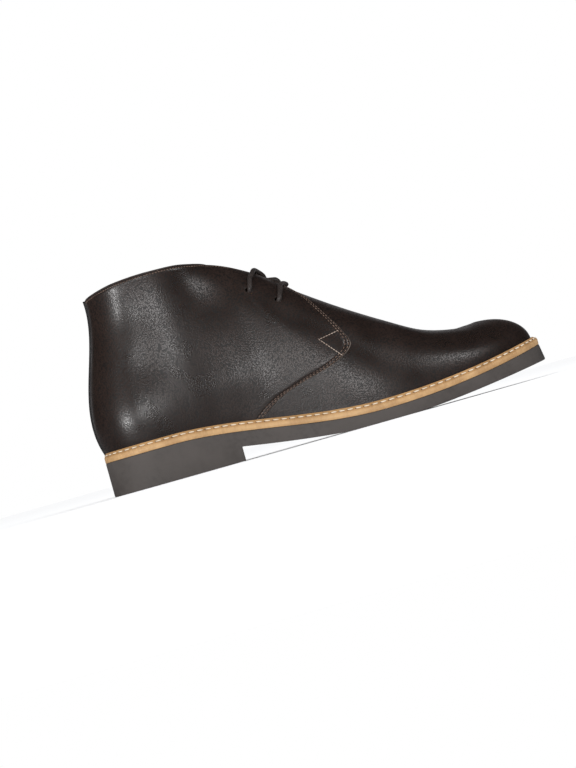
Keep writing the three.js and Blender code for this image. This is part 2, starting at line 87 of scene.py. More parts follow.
# Front edges of the quarters in side view, as (share of the last's length, share of the
# shaft's height over the deck), from the welt over the point to the throat.
OUTER_EDGE = (
    (0.335, -0.030), (0.362, 0.033), (0.390, 0.098), (0.425, 0.160), (0.460, 0.205),
    (0.495, 0.243), (0.530, 0.277), (0.563, 0.317), (0.583, 0.350), (0.594, 0.382),
    (0.595, 0.416), (0.585, 0.478), (0.568, 0.560), (0.546, 0.650), (0.525, 0.725),
    (0.505, 0.775),
)
INNER_EDGE = (
    (0.310, -0.030), (0.338, 0.033), (0.366, 0.090), (0.400, 0.145), (0.432, 0.187),
    (0.462, 0.222), (0.493, 0.252), (0.523, 0.285), (0.541, 0.312), (0.551, 0.340),
    (0.551, 0.380), (0.543, 0.440), (0.532, 0.530), (0.520, 0.620), (0.511, 0.700),
    (0.505, 0.775),
)


class Side(Enum):
    """Which side of the boot a piece belongs to."""

    OUTER = -1
    INNER = 1

    @property
    def word(self) -> str:
        """The side's name inside a piece's name."""
        return self.name.lower()


def unit(vectors: np.ndarray) -> np.ndarray:
    """Vectors scaled to length one."""
    size = np.linalg.norm(vectors, axis=-1, keepdims=True)
    return vectors / np.maximum(size, 1e-12)


def cubic(v: np.ndarray, k: np.ndarray, t: np.ndarray) -> np.ndarray:
    """The Catmull-Rom curve between values k + 1 and k + 2, at a share t of the way."""
    a, b, c, d = v[k], v[k + 1], v[k + 2], v[k + 3]
    bend = 2 * a - 5 * b + 4 * c - d
    return 0.5 * (2 * b + t * (c - a + t * (bend + t * (3 * b - a - 3 * c + d))))


def smooth(t: np.ndarray) -> np.ndarray:
    """An even step from 0 to 1."""
    s = np.clip(t, 0, 1)
    return s * s * (3 - 2 * s)


def around(count: int) -> np.ndarray:
    """Places around the foot's outline, closed, from the heel over the toe and back."""
    return np.arange(count) * 2 * TOE / count


def side_and_row(place: np.ndarray) -> tuple[np.ndarray, np.ndarray]:
    """The side, -1 or 1, and the place in the table, of places around the outline."""
    outer = place <= TOE
    return np.where(outer, -1.0, 1.0), np.where(outer, place, 2 * TOE - place)


@dataclass
class Last:
    """The form the boot is made on; it gives every point of the upper and the sole."""

    length: float = 294 * MM
    ball_width: float = 94 * MM
    collar_width: float = 62 * MM
    shaft_height: float = 111 * MM
    toe_height: float = 30.2 * MM
    toe_lean: float = 4 * MM
    heel_height: float = 23.5 * MM
    fore_height: float = 8 * MM
    toe_spring: float = 10 * MM
    toe_rubber: float = 3 * MM
    midsole: float = 3.5 * MM
    gap: float = 0.3 * MM
    heel_end: float = 0.15
    ball_point: float = 0.627
    rocker_start: float = 0.69
    place: np.ndarray = field(default_factory=lambda: np.zeros(3))

    def __post_init__(self) -> None:
        """Reads the table and carries each column on past both ends."""
        rows = np.array(SECTION_ROWS, float)
        self.columns = {}
        for k, name in enumerate(SECTION_COLUMNS):
            v = rows[:, k]
            odd = name in MIRRORED
            head = 2 * v[0] - v[1] if odd else v[1]
            tail = 2 * v[-1] - v[-2] if odd else v[-2]
            self.columns[name] = np.concatenate([[head], v, [tail]])

    def column(self, name: str, place: np.ndarray) -> np.ndarray:
        """A column of the section table at any place along the boot."""
        k = np.clip(np.floor(place).astype(int), 0, TOE - 1)
        return cubic(self.columns[name], k, place - k)

    def seat(self, x: np.ndarray) -> np.ndarray:
        """Height of the rubber's top."""
        ball = self.ball_point * self.length
        heel = self.heel_end * self.length
        drop = self.heel_height - self.fore_height
        back = self.heel_height - drop * smooth((x - heel) / (ball - heel))
        t = (x - ball) / (self.length - ball)
        front = self.fore_height + (self.toe_spring + self.toe_rubber) * t * t
        return np.where(x < ball, back, front)

    def deck(self, x: np.ndarray) -> np.ndarray:
        """Height of the midsole's top."""
        return self.seat(x) + self.midsole

    def tread(self, x: np.ndarray) -> np.ndarray:
        """Height of the forefoot's underside."""
        start = self.rocker_start * self.length
        t = np.maximum(0, x - start) / (self.length - start)
        return self.toe_spring * t**1.4

    def axis(self, x: np.ndarray) -> np.ndarray:
        """The boot's middle line, which leans to the inner side at the toe."""
        return self.toe_lean * (x / self.length) ** 2

    def rib(self, side: np.ndarray, place: np.ndarray, up: np.ndarray) -> np.ndarray:
        """Points of the upper's form, from the welt at up 0 to the collar or ridge at 1.

        Args:
            side: -1 or 1 for the outer or inner side.
            place: place in the section table; past its ends the other side begins.
            up: share of the way up the rib; past the ridge the other side begins.

        Returns:
            One point for each place, in the last's own frame.
        """
        side, place, up = (np.array(a, float) for a in np.broadcast_arrays(side, place, up))
        for past, folded in ((place < 0, -place), (place > TOE, 2 * TOE - place)):
            side = np.where(past, -side, side)
            place = np.where(past, folded, place)
        over = (place >= RIDGE) & (up > 1)
        side = np.where(over, -side, side)
        up = np.where(over, 2 - up, up)
        v = {name: self.column(name, place) for name in SECTION_COLUMNS}
        outer = side < 0
        foot_x = v["foot"] * self.length
        foot_half = np.where(outer, v["outer"], v["inner"]) * self.ball_width
        top_x = v["top"] * self.length
        top_half = np.where(place < RIDGE, v["top_side"], 0) * self.collar_width
        turn = np.radians(v["turn"])
        swell = np.where(outer, v["outer_swell"], v["inner_swell"]) * self.ball_width
        crown = v["crown"] * self.ball_width
        foot_z = self.deck(foot_x) + self.gap
        climb = self.toe_height + v["climb"] * (self.shaft_height - self.toe_height)
        top_z = self.deck(top_x) + climb
        rise = top_z - foot_z
        out = np.stack([-np.cos(turn), side * np.sin(turn), 0 * turn], -1)
        foot = np.stack([foot_x, self.axis(foot_x) + side * foot_half, foot_z], -1)
        top = np.stack([top_x, self.axis(top_x) + side * top_half, top_z], -1)
        low = foot + out * swell[..., None]
        low[..., 2] += v["lift"] * rise
        high = top + out * crown[..., None]
        high[..., 2] -= v["drop"] * rise
        t = up[..., None]
        w = 1 - t
        return w**3 * foot + 3 * w * w * t * low + 3 * w * t * t * high + t**3 * top

    def normal(self, side: np.ndarray, place: np.ndarray, up: np.ndarray) -> np.ndarray:
        """Outward normals of the form."""
        step = 0.01
        side, place, up = (np.array(a, float) for a in np.broadcast_arrays(side, place, up))
        level = np.minimum(up, 0.98)
        along = self.rib(side, place + step, level) - self.rib(side, place - step, level)
        high = np.minimum(up + step, 1)
        across = self.rib(side, place, high) - self.rib(side, place, high - 2 * step)
        return unit(np.cross(along, across) * -side[..., None])

    def skin(
        self, side: np.ndarray, place: np.ndarray, up: np.ndarray, lift: np.ndarray
    ) -> np.ndarray:
        """Points at a height over the form, in the boot's frame."""
        lift = np.broadcast_to(lift, np.broadcast_shapes(np.shape(place), np.shape(up)))
        base = self.rib(side, place, up)
        return base + self.normal(side, place, up) * lift[..., None] + self.place

    def outline(self, place: np.ndarray, reach: np.ndarray | float) -> np.ndarray:
        """The foot's outline moved outwards, at places around it."""
        side, row = side_and_row(place)
        step = 0.01
        foot = self.rib(side, row, 0.0)
        run = (self.rib(side, row + step, 0.0) - self.rib(side, row - step, 0.0)) * -side[..., None]
        level = unit(np.stack([run[..., 1], -run[..., 0], 0 * run[..., 0]], -1))
        return foot + level * np.asarray(reach)[..., None]

    def find(self, side: float, x: float, z: float, guess: tuple[float, float]) -> np.ndarray:
        """The (place, up) whose point has this x and z in side view, by Newton's steps."""
        at = np.array(guess, float)
        step = 1e-4
        for _ in range(40):
            p = self.rib(side, at[0], at[1])
            miss = np.array([x - p[0], z - p[2]])
            a = (self.rib(side, at[0] + step, at[1]) - p) / step
            b = (self.rib(side, at[0], at[1] + step) - p) / step
            slope = np.array([[a[0], b[0]], [a[2], b[2]]])
            move = np.linalg.lstsq(slope, miss, rcond=None)[0]
            at = at + np.clip(move, -0.5, 0.5) * 0.7
            at[0] = np.clip(at[0], 0.01, TOE - 0.01)
            at[1] = np.clip(at[1], -0.05, 0.999)
        return at


def deselect() -> None:
    """Leaves nothing selected, so that an operator acts on the new piece alone."""
    if bpy.context.object and bpy.context.object.mode != "OBJECT":
        bpy.ops.object.mode_set(mode="OBJECT")
    bpy.ops.object.select_all(action="DESELECT")


def take(piece: bpy.types.Object) -> None:
    """Selects one piece and makes it active."""
    deselect()
    piece.select_set(True)
    bpy.context.view_layer.objects.active = piece


def named(piece: bpy.types.Object, name: str) -> bpy.types.Object:
    """Names a piece and its mesh."""
    piece.name = name
    piece.data.name = name
    return piece


def modify(piece: bpy.types.Object, kind: str, **settings) -> None:
    """Adds a modifier with these settings and applies it."""
    take(piece)
    modifier = piece.modifiers.new(kind.title(), kind)
    for key, value in settings.items():
        setattr(modifier, key, value)
    bpy.ops.object.modifier_apply(modifier=modifier.name)


def soften(piece: bpy.types.Object, degrees: float = 40) -> None:
    """Smooth shading, with creases only at sharp edges."""
    take(piece)
    bpy.ops.object.shade_smooth_by_angle(angle=math.radians(degrees))


def weld(piece: bpy.types.Object, solid: bool = True) -> None:
    """Merges doubled points; a solid piece also gets its ends filled and faces outwards."""
    take(piece)
    bpy.ops.object.mode_set(mode="EDIT")
    bpy.ops.mesh.select_all(action="SELECT")
    bpy.ops.mesh.remove_doubles(threshold=0.01 * MM)
    if solid:
        bpy.ops.mesh.fill_holes(sides=0)
        bpy.ops.mesh.select_all(action="SELECT")
        bpy.ops.mesh.normals_make_consistent(inside=False)
    bpy.ops.object.mode_set(mode="OBJECT")


def lay_grid(name: str, points: np.ndarray, uv: np.ndarray | None = None) -> bpy.types.Object:
    """A grid primitive laid over points, rows by columns, as leather over a last.

    Args:
        name: the new piece's name.
        points: an array of rows, columns and 3; faces point along column x row.
        uv: rows, columns and 2, for the piece's own UV map.

    Returns:
        The new object.
    """
    rows, columns = points.shape[:2]
    deselect()
    bpy.ops.mesh.primitive_grid_add(x_subdivisions=columns - 1, y_subdivisions=rows - 1, size=1)
    piece = named(bpy.context.object, name)
    piece.data.vertices.foreach_set("co", points.reshape(-1))
    piece.data.update()
    if uv is not None:
        corner = np.zeros(len(piece.data.loops), int)
        piece.data.loops.foreach_get("vertex_index", corner)
        piece.data.uv_layers[0].data.foreach_set("uv", uv.reshape(-1, 2)[corner].reshape(-1))
    return piece


def roll(
    name: str, sections: np.ndarray, ring: bool = False, uv: np.ndarray | None = None
) -> bpy.types.Object:
    """A grid rolled up into a solid tube, or on into a ring.

    Args:
        name: the new piece's name.
        sections: an array of sections, corners and 3.
        ring: whether the last section joins the first; otherwise both ends are filled.
        uv: sections, corners + 1 and 2, for the piece's own UV map.

    Returns:
        The new object.
    """
    rolled = np.concatenate([sections, sections[:, :1]], 1)
    if ring:
        rolled = np.concatenate([rolled, rolled[:1]])
    piece = lay_grid(name, rolled, uv)
    weld(piece)
    return piece


def mesh_piece(name: str, points: np.ndarray, faces: list) -> bpy.types.Object:
    """A piece from points and faces."""
    mesh = bpy.data.meshes.new(name)
    mesh.from_pydata(points.tolist(), [], faces)
    mesh.update()
    piece = bpy.data.objects.new(name, mesh)
    bpy.context.collection.objects.link(piece)
    return piece


def arc_lengths(points: np.ndarray) -> np.ndarray:
    """Distance from a path's start to each of its points."""
    steps = np.linalg.norm(np.diff(points, axis=0), axis=1)
    return np.concatenate([[0], np.cumsum(steps)])


def along_path(points: np.ndarray, at: np.ndarray) -> np.ndarray:
    """Points, or other values kept with them, at distances along a path."""
    return np.stack([np.interp(at, arc_lengths(points[:, :3]), c) for c in points.T], -1)


def smooth_path(knots: np.ndarray, count: int) -> np.ndarray:
    """A smooth curve through knots, by Catmull-Rom pieces."""
    ext = np.concatenate([[2 * knots[0] - knots[1]], knots, [2 * knots[-1] - knots[-2]]])
    s = np.linspace(0, len(knots) - 1, count)
    k = np.minimum(s.astype(int), len(knots) - 2)
    return cubic(ext, k, (s - k)[:, None])


# Finishes: node groups give values, each finish builds its own material


class Nodes:
    """A short way to build a node tree."""

    def __init__(self, tree: bpy.types.NodeTree) -> None:
        """Works on this tree."""
        self.tree = tree

    def add(self, kind: str, inputs: dict | None = None, **settings) -> bpy.types.Node:
        """Adds a node; an input is a value or a socket to link from."""
        node = self.tree.nodes.new(kind)
        for key, value in settings.items():
            setattr(node, key, value)
        self.fill(node, inputs or {})
        return node

    def fill(self, node: bpy.types.Node, inputs: dict) -> None:
        """Sets a node's inputs; each is a value or a socket to link from."""
        for key, value in inputs.items():
            if isinstance(value, bpy.types.NodeSocket):
                self.tree.links.new(value, node.inputs[key])
            else:
                node.inputs[key].default_value = value

    def coordinate(self, kind: str = "Object") -> bpy.types.NodeSocket:
        """A texture coordinate of this kind."""
        return self.add("ShaderNodeTexCoord").outputs[kind]

    def noise(self, place: object, scale: object, detail: float = 2.0) -> bpy.types.NodeSocket:
        """The value of a noise at a place."""
        inputs = {"Vector": place, "Scale": scale, "Detail": detail}
        return self.add("ShaderNodeTexNoise", inputs).outputs["Fac"]

    def group(self, tree: bpy.types.NodeTree, **values) -> bpy.types.bpy_prop_collection:
        """The outputs of a shared group with these inputs."""
        return self.add("ShaderNodeGroup", values, node_tree=tree).outputs

    def math(self, operation: str, a: object, b: object = 0.0) -> bpy.types.NodeSocket:
        """The result of a math node."""
        return self.add("ShaderNodeMath", {0: a, 1: b}, operation=operation).outputs[0]

    def line(self, value: object, gain: float, start: object) -> bpy.types.NodeSocket:
        """The value times a gain, added to a start."""
        return self.math("ADD", start, self.math("MULTIPLY", value, gain))

    def mix(self, share: object, a: object, b: object) -> bpy.types.NodeSocket:
        """A mix of two colours."""
        node = self.add("ShaderNodeMix", {0: share, 6: a, 7: b}, data_type="RGBA")
        return node.outputs[2]

    def ramp(self, value: object, low: float, high: float) -> bpy.types.NodeSocket:
        """A value mapped from low..high to 0..1, smoothly."""
        inputs = {"Value": value, "From Min": low, "From Max": high}
        return self.add("ShaderNodeMapRange", inputs, interpolation_type="SMOOTHSTEP").outputs[0]


def new_group(name: str, inputs: dict[str, float], outputs: tuple[str, ...]) -> tuple:
    """A shader node group with float sockets.

    Args:
        name: the group's name.
        inputs: input names and their defaults.
        outputs: output names.

    Returns:
        The group, its builder, its input node and its output node.
    """
    group = bpy.data.node_groups.new(name, "ShaderNodeTree")
    for key, value in inputs.items():
        socket = group.interface.new_socket(key, in_out="INPUT", socket_type="NodeSocketFloat")
        socket.default_value = value
    for key in outputs:
        group.interface.new_socket(key, in_out="OUTPUT", socket_type="NodeSocketFloat")
    nodes = Nodes(group)
    return group, nodes, nodes.add("NodeGroupInput"), nodes.add("NodeGroupOutput")


# Shares of a pebble's size at which its dome starts and ends, and its furrow starts and ends
PEBBLE_DOME = (0.1, 0.75)
PEBBLE_FURROW = (0.42, 0.68)


def grain_group() -> bpy.types.NodeTree:
    """Pebbled leather grain: a height, and a mask of the furrows between the pebbles."""
    group, n, start, end = new_group(
        "leather grain", {"Pebble": 0.0011, "Fine": 0.12}, ("Height", "Furrow")
    )
    place = n.coordinate()
    scale = n.math("DIVIDE", 1.0, start.outputs["Pebble"])
    warp = n.add("ShaderNodeTexNoise", {"Vector": place, "Scale": 260.0, "Detail": 2.0})
    middle = {0: warp.outputs["Color"], 1: (0.5, 0.5, 0.5)}
    shift = n.add("ShaderNodeVectorMath", middle, operation="SUBTRACT")
    reach = {0: shift.outputs[0], "Scale": 1.6 * MM}
    small = n.add("ShaderNodeVectorMath", reach, operation="SCALE")
    moved = n.add("ShaderNodeVectorMath", {0: place, 1: small.outputs[0]})
    cells = {"Vector": moved.outputs[0], "Scale": scale, "Smoothness": 0.6}
    pebble = n.add("ShaderNodeTexVoronoi", cells, feature="SMOOTH_F1").outputs["Distance"]
    domed = n.math("SUBTRACT", 1.0, n.ramp(pebble, *PEBBLE_DOME))
    fine = n.noise(place, n.math("MULTIPLY", scale, 2.7), 3.0)
    rough = n.math("MULTIPLY", fine, start.outputs["Fine"])
    n.fill(end, {"Height": n.math("ADD", domed, rough), "Furrow": n.ramp(pebble, *PEBBLE_FURROW)})
    return group


def cloud_group() -> bpy.types.NodeTree:
    """Slow, cloudy variation for colour and gloss."""
    group, n, start, end = new_group("cloud", {"Size": 0.03}, ("Cloud",))
    slow = n.noise(n.coordinate(), n.math("DIVIDE", 1.0, start.outputs["Size"]), 3.0)
    n.fill(end, {"Cloud": n.ramp(slow, 0.3, 0.7)})
    return group


def wear_group() -> bpy.types.NodeTree:
    """Edge wear: 1 on convex edges, broken up by noise."""
    group, n, start, end = new_group("edge wear", {"Softness": 0.06}, ("Wear",))
    point = n.add("ShaderNodeNewGeometry").outputs["Pointiness"]
    high = n.math("ADD", 0.5, start.outputs["Softness"])
    edge = n.add("ShaderNodeMapRange", {"Value": point, "From Min": 0.5, "From Max": high})
    patches = n.ramp(n.noise(n.coordinate(), 300.0), 0.3, 0.6)
    n.fill(end, {"Wear": n.math("MULTIPLY", edge.outputs[0], patches)})
    return group


class Groups:
    """The shared node groups, built once."""

    def __init__(self) -> None:
        """Builds all groups."""
        self.grain = grain_group()
        self.cloud = cloud_group()
        self.wear = wear_group()


def new_material(name: str) -> tuple[bpy.types.Material, Nodes, bpy.types.Node]:
    """A material with its node builder and its Principled shader."""
    material = bpy.data.materials.new(name)
    material.use_nodes = True
    nodes = Nodes(material.node_tree)
    return material, nodes, material.node_tree.nodes["Principled BSDF"]


Colour = tuple[float, float, float, float]


@dataclass(frozen=True)
class Finish:
    """A surface with two colours; each kind says how they and the bump are spread."""

    name: str
    dark: Colour
    light: Colour
    roughness: float = 0.6

    def material(self, groups: Groups) -> bpy.types.Material:
        """Builds the material."""
        material, n, shader = new_material(self.name)
        colour, roughness, height, distance, strength = self.surface(n, groups)
        bump = {"Height": height, "Distance": distance, "Strength": strength}
        normal = n.add("ShaderNodeBump", bump).outputs[0]
        n.fill(shader, {"Base Color": colour, "Roughness": roughness, "Normal": normal})
        n.fill(shader, self.gloss())
        return material

    def surface(self, n: Nodes, groups: Groups) -> tuple:
        """What the finish shows; each kind of finish has its own.

        Args:
            n: the material's node builder.
            groups: the shared node groups.

        Returns:
            Colour, roughness, and the bump's height, distance and strength.
        """
        raise NotImplementedError

    def gloss(self) -> dict[str, float]:
        """Further inputs of the shader."""
        return {}


@dataclass(frozen=True)
class LeatherFinish(Finish):
    """Leather with pebbled grain, cloudy colour and a soft gloss."""

    roughness: float = 0.30
    worn: Colour = (0.06, 0.045, 0.04, 1)
    coat: float = 0.0
    pebble: float = 1.0 * MM
    relief: float = 0.034 * MM

    def surface(self, n: Nodes, groups: Groups) -> tuple:
        """Pebbles with dark, dull furrows under a cloudy colour."""
        grain = n.group(groups.grain, Pebble=self.pebble)
        cloud = n.group(groups.cloud)["Cloud"]
        wear = n.group(groups.wear)["Wear"]
        body = n.mix(n.line(cloud, 0.5, 0.5), self.dark, self.light)
        deep = n.mix(n.math("MULTIPLY", grain["Furrow"], 0.9), body, self.dark)
        edge = n.mix(n.math("MULTIPLY", wear, 0.5), deep, self.worn)
        rough = n.line(grain["Furrow"], 0.14, n.line(cloud, 0.08, self.roughness - 0.04))
        return edge, rough, grain["Height"], self.relief, 1.0

    def gloss(self) -> dict[str, float]:
        """A clear coat and a lively reflection."""
        return {"Specular IOR Level": 0.6, "Coat Weight": self.coat, "Coat Roughness": 0.3}


@dataclass(frozen=True)
class RubberFinish(Finish):
    """Matt moulded rubber with a faint bloom and a sandy face."""

    roughness: float = 0.62

    def surface(self, n: Nodes, groups: Groups) -> tuple:
        """A cloudy colour, paler on worn edges."""
        cloud = n.group(groups.cloud, Size=0.02)["Cloud"]
        wear = n.group(groups.wear)["Wear"]
        body = n.mix(cloud, self.dark, self.light)
        worn = n.mix(n.math("MULTIPLY", wear, 0.6), body, self.light)
        sand = n.noise(n.coordinate(), 2200.0)
        return worn, n.line(cloud, 0.1, self.roughness), sand, 0.05 * MM, 0.8


@dataclass(frozen=True)
class EdgeFinish(Finish):
    """Trimmed leather edge, with fine fibres running up and down."""

    roughness: float = 0.5

    def surface(self, n: Nodes, groups: Groups) -> tuple:
        """Fibres mixed with a cloudy tone."""
        cloud = n.group(groups.cloud, Size=0.012)["Cloud"]
        stretched = {"Vector": n.coordinate(), "Scale": (1.0, 1.0, 0.25)}
        fibre = n.noise(n.add("ShaderNodeMapping", stretched).outputs[0], 900.0, 3.0)
        share = n.line(cloud, 0.4, n.math("MULTIPLY", fibre, 0.6))
        colour = n.mix(n.ramp(share, 0.2, 0.8), self.dark, self.light)
        return colour, self.roughness, fibre, 0.06 * MM, 0.8


@dataclass(frozen=True)
class ThreadFinish(Finish):
    """Twisted thread or waxed cord, with its plies along the piece's own UV map."""

    plies: float = 2.0

    def surface(self, n: Nodes, groups: Groups) -> tuple:
        """Plies that cross, raised in the middle of each."""
        cloud = n.group(groups.cloud, Size=0.006)["Cloud"]
        parts = n.add("ShaderNodeSeparateXYZ", {0: n.coordinate("UV")}).outputs
        around_it = n.math("MULTIPLY", parts[0], self.plies)
        turns = [n.math("FRACT", n.math(way, around_it, parts[1])) for way in ("ADD", "SUBTRACT")]
        fold = [n.math("ABSOLUTE", n.math("SUBTRACT", turn, 0.5)) for turn in turns]
        braid = n.math("MULTIPLY", n.math("MAXIMUM", *fold), 2.0)
        share = n.line(cloud, 0.45, n.math("MULTIPLY", braid, 0.55))
        return n.mix(share, self.dark, self.light), self.roughness, braid, 0.12 * MM, 0.7


UPPER_LEATHER = LeatherFinish(
    "dark brown leather", (0.0046, 0.0024, 0.0017, 1), (0.023, 0.0125, 0.0092, 1),
)
TONGUE_LEATHER = LeatherFinish(
    "smooth dark leather", (0.008, 0.0055, 0.0052, 1), (0.014, 0.0095, 0.009, 1),
    worn=(0.04, 0.03, 0.028, 1), coat=0.3, relief=0.05 * MM,
)
LINING_LEATHER = LeatherFinish(
    "brown lining leather", (0.045, 0.022, 0.013, 1), (0.075, 0.04, 0.024, 1),
    worn=(0.11, 0.065, 0.04, 1), roughness=0.6, pebble=0.7 * MM, relief=0.06 * MM,
)
PIPING_LEATHER = LeatherFinish(
    "black piping leather", (0.0016, 0.0014, 0.0014, 1), (0.004, 0.0034, 0.0032, 1),
    worn=(0.012, 0.010, 0.010, 1), roughness=0.6, relief=0.04 * MM,
)
SOLE_RUBBER = RubberFinish("sole rubber", (0.050, 0.042, 0.038, 1), (0.070, 0.060, 0.055, 1))
MIDSOLE_EDGE = EdgeFinish("tan midsole edge", (0.38, 0.215, 0.088, 1), (0.52, 0.32, 0.145, 1))
WELT_EDGE = EdgeFinish("tan welt leather", (0.33, 0.175, 0.062, 1), (0.46, 0.26, 0.105, 1))
# Paler cut edge band: partly the raw edge's own colour, partly a painted highlight on the rounded
# edge
CUT_EDGE_HIGHLIGHT_LEATHER = EdgeFinish("cut upper leather", (0.10, 0.078, 0.064, 1), (0.24, 0.195, 0.165, 1))
# Dark brown beads between the welt stitches: painted shade of the stitch holes
HOLE_SHADE = EdgeFinish("burnt stitch hole", (0.07, 0.03, 0.012, 1), (0.16, 0.075, 0.03, 1))
WELT_THREAD = ThreadFinish("cream welt thread", (0.55, 0.42, 0.28, 1), (0.80, 0.70, 0.56, 1))
UPPER_THREAD = ThreadFinish("brown upper thread", (0.06, 0.034, 0.023, 1), (0.21, 0.14, 0.105, 1))
TACK_THREAD = ThreadFinish("pale tack thread", (0.19, 0.13, 0.10, 1), (0.46, 0.37, 0.31, 1))
LACE_CORD = ThreadFinish(
    "waxed lace", (0.010, 0.0072, 0.0068, 1), (0.05, 0.038, 0.034, 1), roughness=0.45, plies=5.0
)


class Wardrobe:
    """All materials by finish, each built when first asked for."""

    def __init__(self) -> None:
        """Starts with the shared groups and no material."""
        self.groups = Groups()
        self.made: dict[str, bpy.types.Material] = {}

    def paint(self, piece: bpy.types.Object, finish: Finish) -> None:
        """Adds a finish to a piece; the first covers it, a second only its marked faces."""
        if finish.name not in self.made:
            self.made[finish.name] = finish.material(self.groups)
        piece.data.materials.append(self.made[finish.name])

    def ride(self, piece: bpy.types.Object, slot: str, node: str) -> None:
        """Lets a painted piece ride on the boot, in place of a node's solid."""
        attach(piece, "root")
        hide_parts(node)
        LOG.info("%s: %d faces", piece.name, len(piece.data.polygons))

    def dress(self, piece: bpy.types.Object, finish: Finish, slot: str, node: str) -> None:
        """Gives a piece its finish and lets it ride."""
        self.paint(piece, finish)
        self.ride(piece, slot, node)


# Sewing


@dataclass(frozen=True)
class Stitch:
    """The size of one stitch and the distance from one to the next."""

    pitch: float
    length: float
    width: float
    sink: float = 0.15
    squareness: float = 0.8
    flatness: float = 0.7

    def sew(self, name: str, path: np.ndarray, normals: np.ndarray) -> bpy.types.Object:
        """A run of stitches as one piece.

        Args:
            name: the piece's name.
            path: points of the seam on the leather.
            normals: the leather's normals at those points.

        Returns:
            The joined stitches, each a slim bead laid along the seam.
        """
        deselect()
        bpy.ops.mesh.primitive_uv_sphere_add(segments=8, ring_count=6, radius=0.5)
        bead = bpy.context.object
        shape = np.array([v.co for v in bead.data.vertices])
        faces = [tuple(f.vertices) for f in bead.data.polygons]
        bpy.data.objects.remove(bead)
        shape = shape[:, [2, 0, 1]]
        shape[:, 0] = np.sign(shape[:, 0]) * np.abs(2 * shape[:, 0]) ** self.squareness / 2
        shape = shape * (self.length, self.width, self.flatness * self.width)
        total = arc_lengths(path)[-1]
        count = max(int(total / self.pitch), 1)
        at = (np.arange(count) + 0.5) * total / count
        both = along_path(np.concatenate([path, normals], 1), at)
        ahead = along_path(path, np.minimum(at + self.pitch / 4, total))
        behind = along_path(path, np.maximum(at - self.pitch / 4, 0))
        run = unit(ahead - behind)
        up = unit(both[:, 3:])
        across = unit(np.cross(up, run))
        up = np.cross(run, across)
        turn = np.stack([run, across, up], 1)
        centre = both[:, :3] + up * (self.flatness / 2 - self.sink) * self.width
        points = np.einsum("vk,nkc->nvc", shape, turn) + centre[:, None]
        size = len(shape)
        all_faces = [tuple(i + n * size for i in f) for n in range(count) for f in faces]
        piece = mesh_piece(name, points.reshape(-1, 3), all_faces)
        layer = piece.data.uv_layers.new(name="thread")
        corner = np.zeros(len(piece.data.loops), int)
        piece.data.loops.foreach_get("vertex_index", corner)
        local = shape[corner % size]
        angle = np.arctan2(local[:, 2], local[:, 1]) / (2 * math.pi) + 0.5
        uv = np.stack([angle, local[:, 0] / self.width], -1)
        layer.data.foreach_set("uv", uv.reshape(-1))
        soften(piece, 80)
        return piece


UPPER_STITCH = Stitch(pitch=2.6 * MM, length=1.75 * MM, width=0.62 * MM)
COLLAR_STITCH = Stitch(pitch=2.0 * MM, length=1.4 * MM, width=0.55 * MM)
TACK_STITCH = Stitch(pitch=1.9 * MM, length=1.75 * MM, width=0.62 * MM)
WELT_STITCH = Stitch(pitch=5.6 * MM, length=4.1 * MM, width=1.05 * MM, sink=-0.05)
# Dark beads set between the welt stitches, painted shade of the holes
WELT_SHADE_BEAD = Stitch(pitch=5.6 * MM, length=1.7 * MM, width=1.0 * MM, sink=0.1)


# The upper

# Where sheets start, as a share of the way up, and where the front edges reach the throat
FOOT_UP = 0.01
THROAT_PLACE = 10.68


@dataclass
class Seams:
    """Where the seams run and how deep they press into the leather."""

    front_rows: tuple[float, ...] = (1.5 * MM, 3.7 * MM)
    collar_row: float = 2.0 * MM
    press: float = 0.3 * MM
    press_width: float = 0.7 * MM
    edge_round: float = 0.45 * MM

    def relief(self, distance: np.ndarray, rows: tuple[float, ...]) -> np.ndarray:
        """How far the leather lies below its face near an edge with these seams."""
        rounded = np.clip(1 - distance / self.edge_round, 0, 1)
        low = self.edge_round * 0.9 * rounded**2
        for row in rows:
            low = low + self.press * np.exp(-(((distance - row) / self.press_width) ** 2))
        return low


@dataclass(frozen=True)
class Swell:
    """A soft rise, or a hollow where it is negative, in the leather of the last's side."""

    place: float
    up: float
    places: float
    ups: float
    height: float

    def lift(self, place: np.ndarray, up: np.ndarray) -> np.ndarray:
        """How far the leather is raised at each point."""
        along = (place - self.place) / self.places
        across = (up - self.up) / self.ups
        fade = smooth(up / 0.06)
        return self.height * fade * np.exp(-(along**2) - across**2)


# Heel, hollow over the heel, ankle, back of the collar, waist, hollow over it, joint, toe.
SWELLS = (
    Swell(3.2, 0.20, 1.7, 0.13, 0.9 * MM), Swell(3.7, 0.47, 1.1, 0.12, -0.7 * MM),
    Swell(4.4, 0.60, 2.0, 0.15, 0.3 * MM), Swell(3.0, 0.88, 1.1, 0.10, 0.5 * MM),
    Swell(7.4, 0.28, 1.9, 0.13, 1.1 * MM), Swell(6.2, 0.38, 1.0, 0.10, -0.5 * MM),
    Swell(9.9, 0.14, 1.5, 0.10, 0.6 * MM), Swell(14.0, 0.26, 2.0, 0.14, 0.5 * MM),
)


